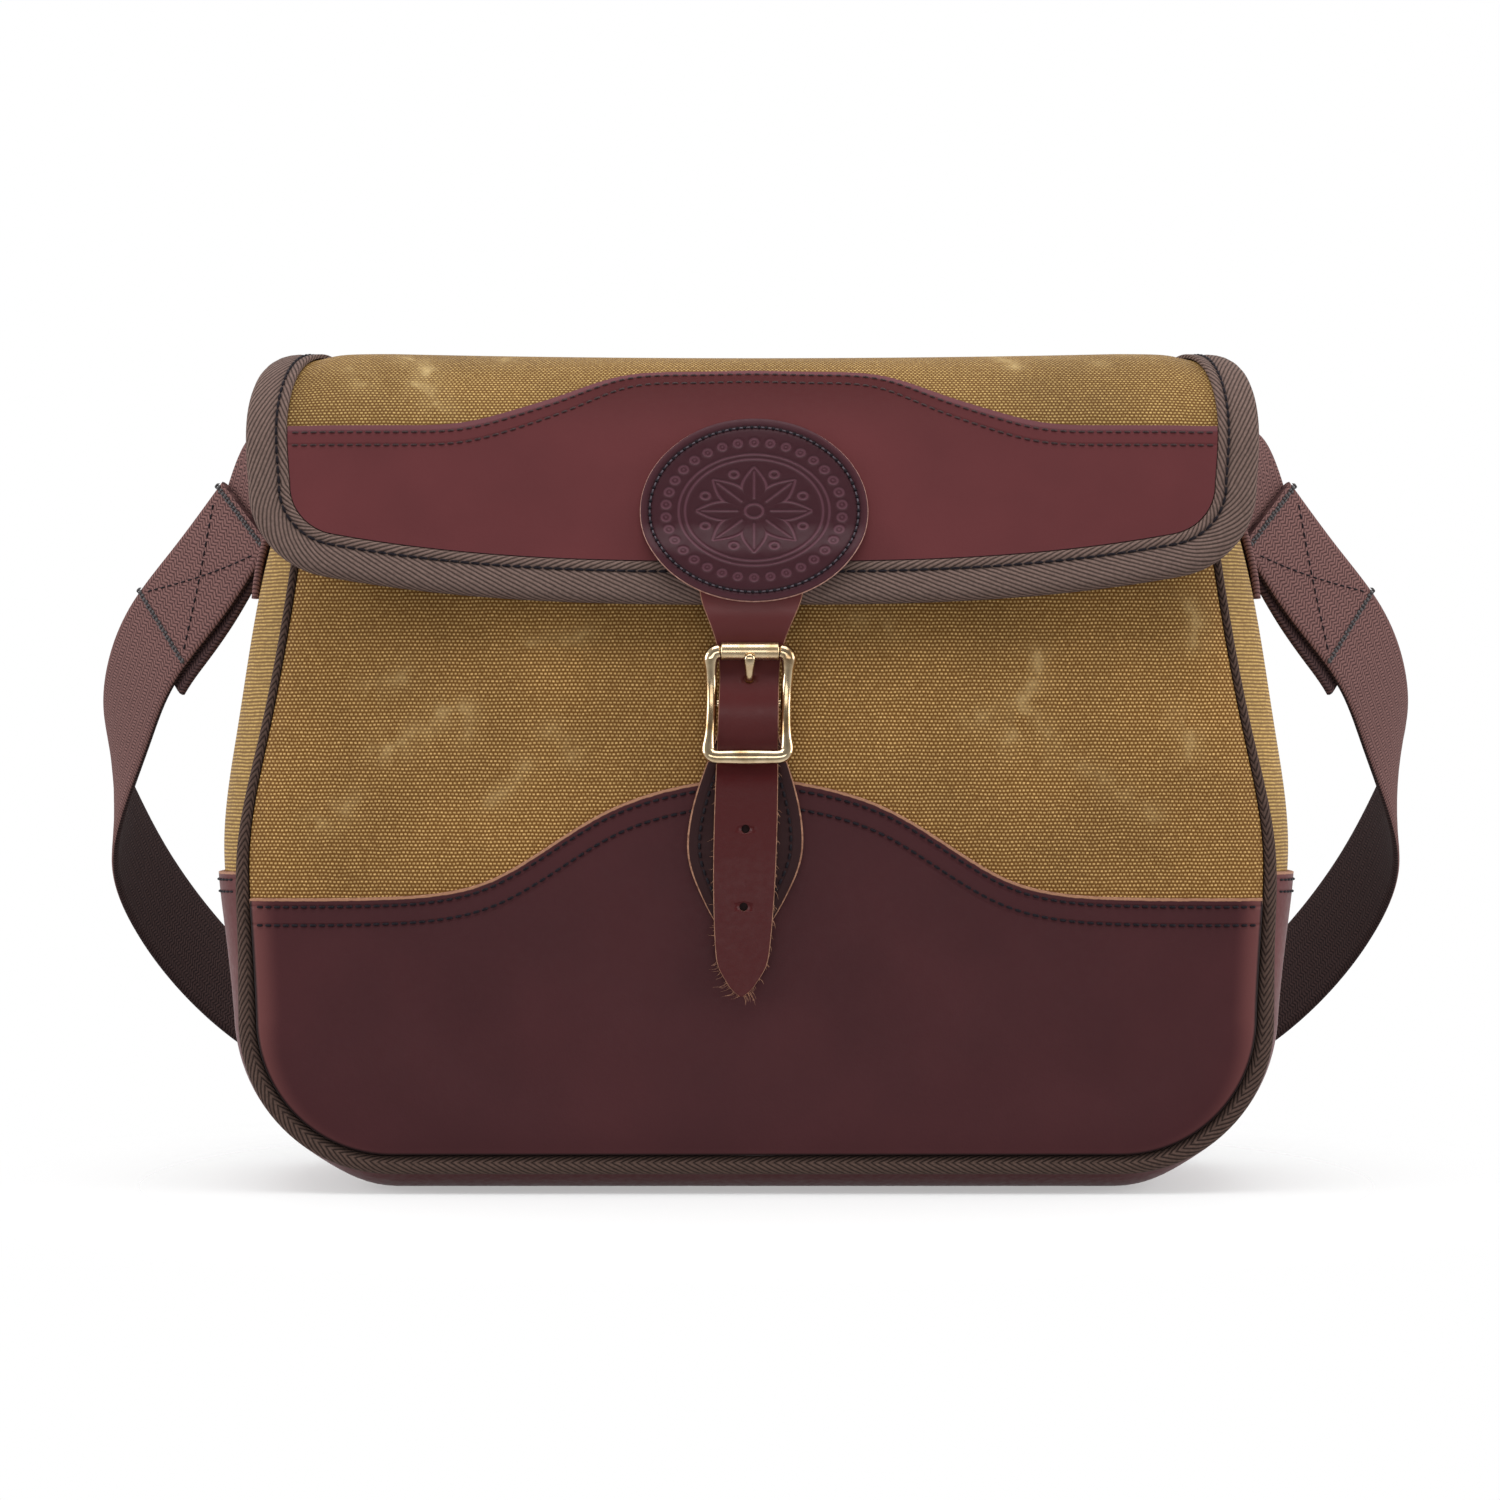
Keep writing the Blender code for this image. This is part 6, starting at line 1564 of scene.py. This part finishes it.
tongue_table = np.array(TONGUE_PATH)
tongue_reach = lengths_along(tongue_table[:, :2])
tongue_share = np.linspace(0, 1, TONGUE_STATIONS)
tongue_rows = spline(tongue_reach, tongue_table, np.linspace(0, tongue_reach[-1], TONGUE_STATIONS))
past_start = np.clip((tongue_share - TONGUE_TIP_START) / (1 - TONGUE_TIP_START), 0, 1)
tip = np.sqrt(np.clip(1 - past_start ** 2, 0.05, 1))[:, None]
tongue_run = unit(np.gradient(tongue_rows[:, :2], axis=0))
tongue_turn = np.linspace(0, 2 * np.pi, TONGUE_SIDES, endpoint=False)
tongue_thick = tongue_rows[:, 3:4] * np.sin(tongue_turn) * tip
tongue_rings = join(lean(tongue_rows[:, 1:2]) + tongue_rows[:, 2:3] * np.cos(tongue_turn) * tip,
                    tongue_rows[:, :1] + tongue_run[:, 1:] * tongue_thick,
                    tongue_rows[:, 1:2] - tongue_run[:, :1] * tongue_thick)
dress(sweep_rings("buckle_tongue_brass", tongue_rings, plain_cloth(tongue_rings), [brass]),
      "polished_brass", "buckle_tongue")

eye_radius = CENTRE_BAR_RADIUS + TONGUE_PLAY
ring_radii = np.array([eye_radius, TONGUE_RING_RADIUS, TONGUE_RING_RADIUS, eye_radius])
ring_sides = np.array([-0.5, -0.5, 0.5, 0.5]) * TONGUE_RING_LENGTH
ring_rings = join(lean(CENTRE_BAR_Z) + ring_sides,
                  CENTRE_BAR_Y + np.cos(roller_turn) * ring_radii,
                  CENTRE_BAR_Z + np.sin(roller_turn) * ring_radii)
tongue_ring = sweep_rings("buckle_tongue_ring_brass", ring_rings, plain_cloth(ring_rings, True), [brass],
                          closed=True)
dress(tongue_ring, "polished_brass")


# Shoulder strap: 38 mm cotton webbing, dusty rose brown, heavy and stiff. Its two ends are sewn to the
# tabs, and the loop between them stands on its front edge behind the bag.
WEBBING = 2.6
WEBBING_WIDTH = 38.1
RIB_PITCH = 1.4
RIB_SLANT = 0.6
COLUMN_WIDTH = 2.0
# Left half of the strap, middle of its outer face from its sewn end to the middle of the loop:
# x, y, z, turn of the cross line about Z, dip of its front edge
SHOULDER_ROUTE = ((-173.0, 34.0, 224.6, 37.8, 36.2), (-190.6, 43.9, 201.3, 41.7, 40.7),
                  (-207.8, 55.4, 180.7, 40.9, 43.1), (-219.2, 74.0, 159.3, 38.8, 44.5),
                  (-226.8, 97.9, 137.7, 21.4, 48.8), (-228.2, 124.0, 116.2, -7.0, 49.5),
                  (-221.8, 150.0, 93.0, -18.0, 48.0), (-207.5, 173.7, 68.2, -17.6, 47.7),
                  (-186.0, 193.1, 45.2, -11.0, 46.2), (-146.7, 209.9, 23.8, -4.2, 41.6),
                  (-99.3, 216.1, 15.5, -1.8, 38.0), (-49.5, 216.8, 14.6, -0.8, 35.6),
                  (0.0, 216.7, 14.3, 0.0, 35.4))
# Left tab, middle of its layer from its sewn root on the gusset, over its fold, to the strap's underside
TAB_ROUTE = ((-162.9, 0.5, 196.0, -1.0, 8.0), (-162.1, 0.9, 204.0, -1.0, 9.0),
             (-160.2, 2.2, 214.0, -1.0, 11.0), (-157.6, 4.8, 226.0, 0.0, 16.0),
             (-156.4, 9.0, 236.0, 3.0, 22.0), (-159.2, 15.5, 242.4, 8.0, 28.0),
             (-164.4, 23.3, 241.4, 16.0, 34.0), (-167.8, 30.2, 234.2, 27.0, 37.0))
TAB_END = 64.0
# How far the tab's free end lies past the strap's front edge, and the length over which it gets there
TAB_SHIFT = 3.6
TAB_SHIFT_LENGTH = 50.0
# Cells of the tab from its root over its fold, which take the lit webbing; the cells past them, under the
# strap, take a darker copy as painted shade
TAB_LIT_CELLS = 39
STRAP_STATION = 3.0
TAB_STATION = 2.25
# Section of the webbing: share across, share of half the thickness
WEBBING_SECTION = ((-0.96, 0.9), (-0.88, 1.0), (-0.5, 1.0), (0.0, 1.0), (0.5, 1.0), (0.88, 1.0),
                   (0.96, 0.9), (1.0, 0.4), (1.0, -0.4), (0.96, -0.9), (0.88, -1.0), (0.5, -1.0),
                   (0.0, -1.0), (-0.5, -1.0), (-0.88, -1.0), (-0.96, -0.9), (-1.0, -0.4), (-1.0, 0.4))
WEBBING_INNER = slice(7, 16)


def cotton_webbing(name, groove, rib):
    """Heavy cotton webbing: ribs that cross the band in a zigzag, one slant to each column, like a
    herringbone. The first cloth value is the distance across, the second the length along."""
    material, tree, shader = new_material(name)
    cloth = add_node(tree, "ShaderNodeAttribute", {"attribute_name": "cloth"})
    place = add_node(tree, "ShaderNodeTexCoord").outputs["Object"]
    wander = add_node(tree, "ShaderNodeTexNoise", None, {"Vector": place, "Scale": 300.0, "Detail": 2.0})
    drift = add_node(tree, "ShaderNodeVectorMath", {"operation": "MULTIPLY_ADD"},
                     {0: wander.outputs["Color"], 1: (0.9, 0.9, 0.0), 2: cloth.outputs["Vector"]})
    band = add_node(tree, "ShaderNodeSeparateXYZ", None, {0: drift})
    zigzag = add_node(tree, "ShaderNodeMath", {"operation": "PINGPONG"},
                      {0: band.outputs["X"], 1: COLUMN_WIDTH})
    slanted = add_node(tree, "ShaderNodeMath", {"operation": "MULTIPLY_ADD"},
                       {0: zigzag, 1: RIB_SLANT, 2: band.outputs["Y"]})
    turn = add_node(tree, "ShaderNodeMath", {"operation": "MULTIPLY"}, {0: slanted, 1: np.pi / RIB_PITCH})
    wave = add_node(tree, "ShaderNodeMath", {"operation": "SINE"}, {0: turn})
    ridge = add_node(tree, "ShaderNodeMath", {"operation": "ABSOLUTE"}, {0: wave})
    column = add_node(tree, "ShaderNodeMath", {"operation": "MULTIPLY"},
                      {0: band.outputs["X"], 1: np.pi / COLUMN_WIDTH})
    column_wave = add_node(tree, "ShaderNodeMath", {"operation": "SINE"}, {0: column})
    dome = add_node(tree, "ShaderNodeMath", {"operation": "ABSOLUTE"}, {0: column_wave})
    dome_level = add_node(tree, "ShaderNodeMapRange", None, {"Value": dome, "To Min": 0.6, "To Max": 1.0})
    height = add_node(tree, "ShaderNodeMath", {"operation": "MULTIPLY"}, {0: ridge, 1: dome_level})
    fibre = add_node(tree, "ShaderNodeTexNoise", None, {"Vector": place, "Scale": 1000.0, "Detail": 2.0})
    shade = add_node(tree, "ShaderNodeMath", {"operation": "MULTIPLY_ADD"}, {0: fibre, 1: 0.5, 2: height})
    shade = add_node(tree, "ShaderNodeMapRange", {"interpolation_type": "SMOOTHSTEP"},
                     {"Value": shade, "From Min": 0.3, "From Max": 1.15})
    colour = add_node(tree, "ShaderNodeMix", {"data_type": "RGBA"},
                      {0: shade, 6: linear(groove), 7: linear(rib)})
    tree.links.new(colour.outputs[2], shader.inputs["Base Color"])
    bump = add_node(tree, "ShaderNodeBump", None, {"Height": height, "Distance": 0.3 * MM, "Strength": 0.8})
    tree.links.new(bump.outputs[0], shader.inputs["Normal"])
    shader.inputs["Roughness"].default_value = 0.9
    shader.inputs["Specular IOR Level"].default_value = 0.1
    return material


def ribbon_route(table, spacing):
    """Smooth route through a ribbon's stations: middle points, cross lines and outward normals."""
    table = np.array(table)
    reach = lengths_along(table[:, :3])
    row = spline(reach, table, np.linspace(0, reach[-1], int(round(reach[-1] / spacing)) + 1))
    turn = np.radians(row[:, 3])
    dip = np.radians(row[:, 4])
    cross = join(np.cos(dip) * np.sin(turn), -np.cos(dip) * np.cos(turn), -np.sin(dip))
    out = np.cross(np.gradient(row[:, :3], axis=0), cross)
    return row[:, :3], cross, unit(out)


def ribbon_rings(middle, cross, out, lift):
    """Rings of webbing round a route: the section's shares of half the width and half the thickness."""
    section = np.array(WEBBING_SECTION)
    return ((middle + lift * out)[:, None] + 0.5 * WEBBING_WIDTH * section[:, :1] * cross[:, None]
            + 0.5 * WEBBING * section[:, 1:] * out[:, None])


def ribbon_cloth(rings):
    """Cloth values of webbing: across from the section, along from the length of the middle line."""
    across = 0.5 * WEBBING_WIDTH * np.array(WEBBING_SECTION)[:, 0]
    across = np.append(across, across[0])
    along = lengths_along(rings.mean(axis=1))
    along = np.minimum(along, along[-1] - along)
    return join(across, along[:, None], 0.0)


# The strap's inner face takes a darker copy of the webbing: painted shade on the same cloth
shaded_inner_kinds = np.zeros(len(WEBBING_SECTION), int)
shaded_inner_kinds[WEBBING_INNER] = 1
webbing_finish = cotton_webbing("cotton_webbing_strap", "#493333", "#815F5B")
webbing_shaded_inside = cotton_webbing("cotton_webbing_shaded_inside", "#1F1617", "#40302F")
# Darker copy for the tabs' ends under the strap: painted shade
webbing_shaded_under = cotton_webbing("cotton_webbing_shaded_under", "#2B1E21", "#56403F")
strap_route = ribbon_route(SHOULDER_ROUTE, STRAP_STATION)
strap_left = ribbon_rings(*strap_route, -WEBBING / 2)
shoulder_rings = np.concatenate([strap_left, strap_left[-2::-1] * (-1, 1, 1)])
dress(sweep_rings("shoulder_strap_webbing", shoulder_rings, ribbon_cloth(shoulder_rings),
                  [webbing_finish, webbing_shaded_inside], kinds=shaded_inner_kinds),
      "cotton_webbing", "shoulder_strap")


# Strap tabs: shorter pieces of the same webbing, sewn to the gusset, folded over at the top and laid
# under the end of the strap. A box of thread with a cross in it joins the two.
under = -(WEBBING + GAP)
tab_start = strap_route[0][0] + strap_route[2][0] * (under - WEBBING / 2)
tab_route = ribbon_route(np.concatenate([TAB_ROUTE, [(*tab_start, *SHOULDER_ROUTE[0][3:])]]), TAB_STATION)
tab_upper = ribbon_rings(*tab_route, 0.0)
strap_middle, strap_cross, strap_out = strap_route
tab_reach = STRAP_STATION * np.arange(len(strap_middle))[:, None]
tab_aside = TAB_SHIFT * smooth_step(0, TAB_SHIFT_LENGTH, tab_reach)
tab_lower = ribbon_rings(strap_middle + tab_aside * strap_cross, strap_cross, strap_out, under - WEBBING / 2)
tab_rings = np.concatenate([tab_upper[:-1], tab_lower[:int(TAB_END / STRAP_STATION) + 1]])
tab_shaded = np.arange(len(tab_rings) - 1)[:, None] >= TAB_LIT_CELLS
for side_name, side in (("left", 1), ("right", -1)):
    tab = sweep_rings(f"strap_tab_{side_name}_webbing", tab_rings * (side, 1, 1), ribbon_cloth(tab_rings),
                      [webbing_finish, webbing_shaded_under], kinds=tab_shaded)
    dress(tab, "cotton_webbing", f"strap_tab_{side_name}")


# Strap stitching: heavy grey thread in a dense band across each end, knotted at the strap's edge, and
# a thin cross between the two bands.
BOX_START = 2.2
BOX_END = 52.0
BOX_HALF_WIDTH = 18.6
CROSS_HALF_WIDTH = 15.5
CROSS_INSET = 5.0
CROSS_END_INSET = 7.5
BAND_THREAD = 0.5
THREAD_LIFT = 0.05
KNOT_REACH = 1.3
KNOT_POINTS = 8
KNOT_ASIDE = 0.5
# Share of the band's spacing that is even, share that wavers, and how fast it does across the strap
BAND_EVEN = 0.8
BAND_WAVER = 0.35
BAND_WAVER_PACE = 2.3
strap_thread = waxed_thread("waxed_thread_grey", "#242227", "#5E5959", 0.4)


def on_strap(along, across):
    """A line on the strap's outer face: length from its sewn end, distance from its middle line."""
    middle, cross, out = strap_route
    place, side, up = (read_line(along, lengths_along(middle), part) for part in (middle, cross, out))
    return place + side * across[:, None] + THREAD_LIFT * up, up


share = np.linspace(0, 1, 60)
wide = (2 * share - 1) * BOX_HALF_WIDTH
cross_wide = (2 * share - 1) * CROSS_HALF_WIDTH
cross_long = BOX_START + CROSS_INSET + (BOX_END - BOX_START - CROSS_END_INSET) * share
knot = np.linspace(-KNOT_REACH, KNOT_REACH, KNOT_POINTS)
heavy_lines = []
for band_middle in (BOX_START, BOX_END):
    for aside in (-BAND_THREAD, BAND_THREAD):
        waver = BAND_EVEN + BAND_WAVER * np.sin(wide * BAND_WAVER_PACE + aside)
        heavy_lines.append(on_strap(band_middle + aside * waver, wide))
    heavy_lines.append(on_strap(band_middle + knot, np.full(KNOT_POINTS, -BOX_HALF_WIDTH - KNOT_ASIDE)))
light_lines = [on_strap(cross_long, cross_wide), on_strap(cross_long, -cross_wide)]
mirror = (-1, 1, 1)
# Threads of the strap: name, lines, material, pitch, radius, share of the pitch
for thread_name, lines, thread, *sizes in (("end", heavy_lines, strap_thread, 1.8, 0.43, 0.95),
                                           ("cross", light_lines, stitch_thread, 3.2, 0.3, 0.7)):
    both_sides = lines + [(line * mirror, out * mirror) for line, out in lines]
    strap_stitches = new_stitches(f"shoulder_strap_{thread_name}_stitches", both_sides, thread, *sizes)
    dress(strap_stitches, "cotton_webbing")
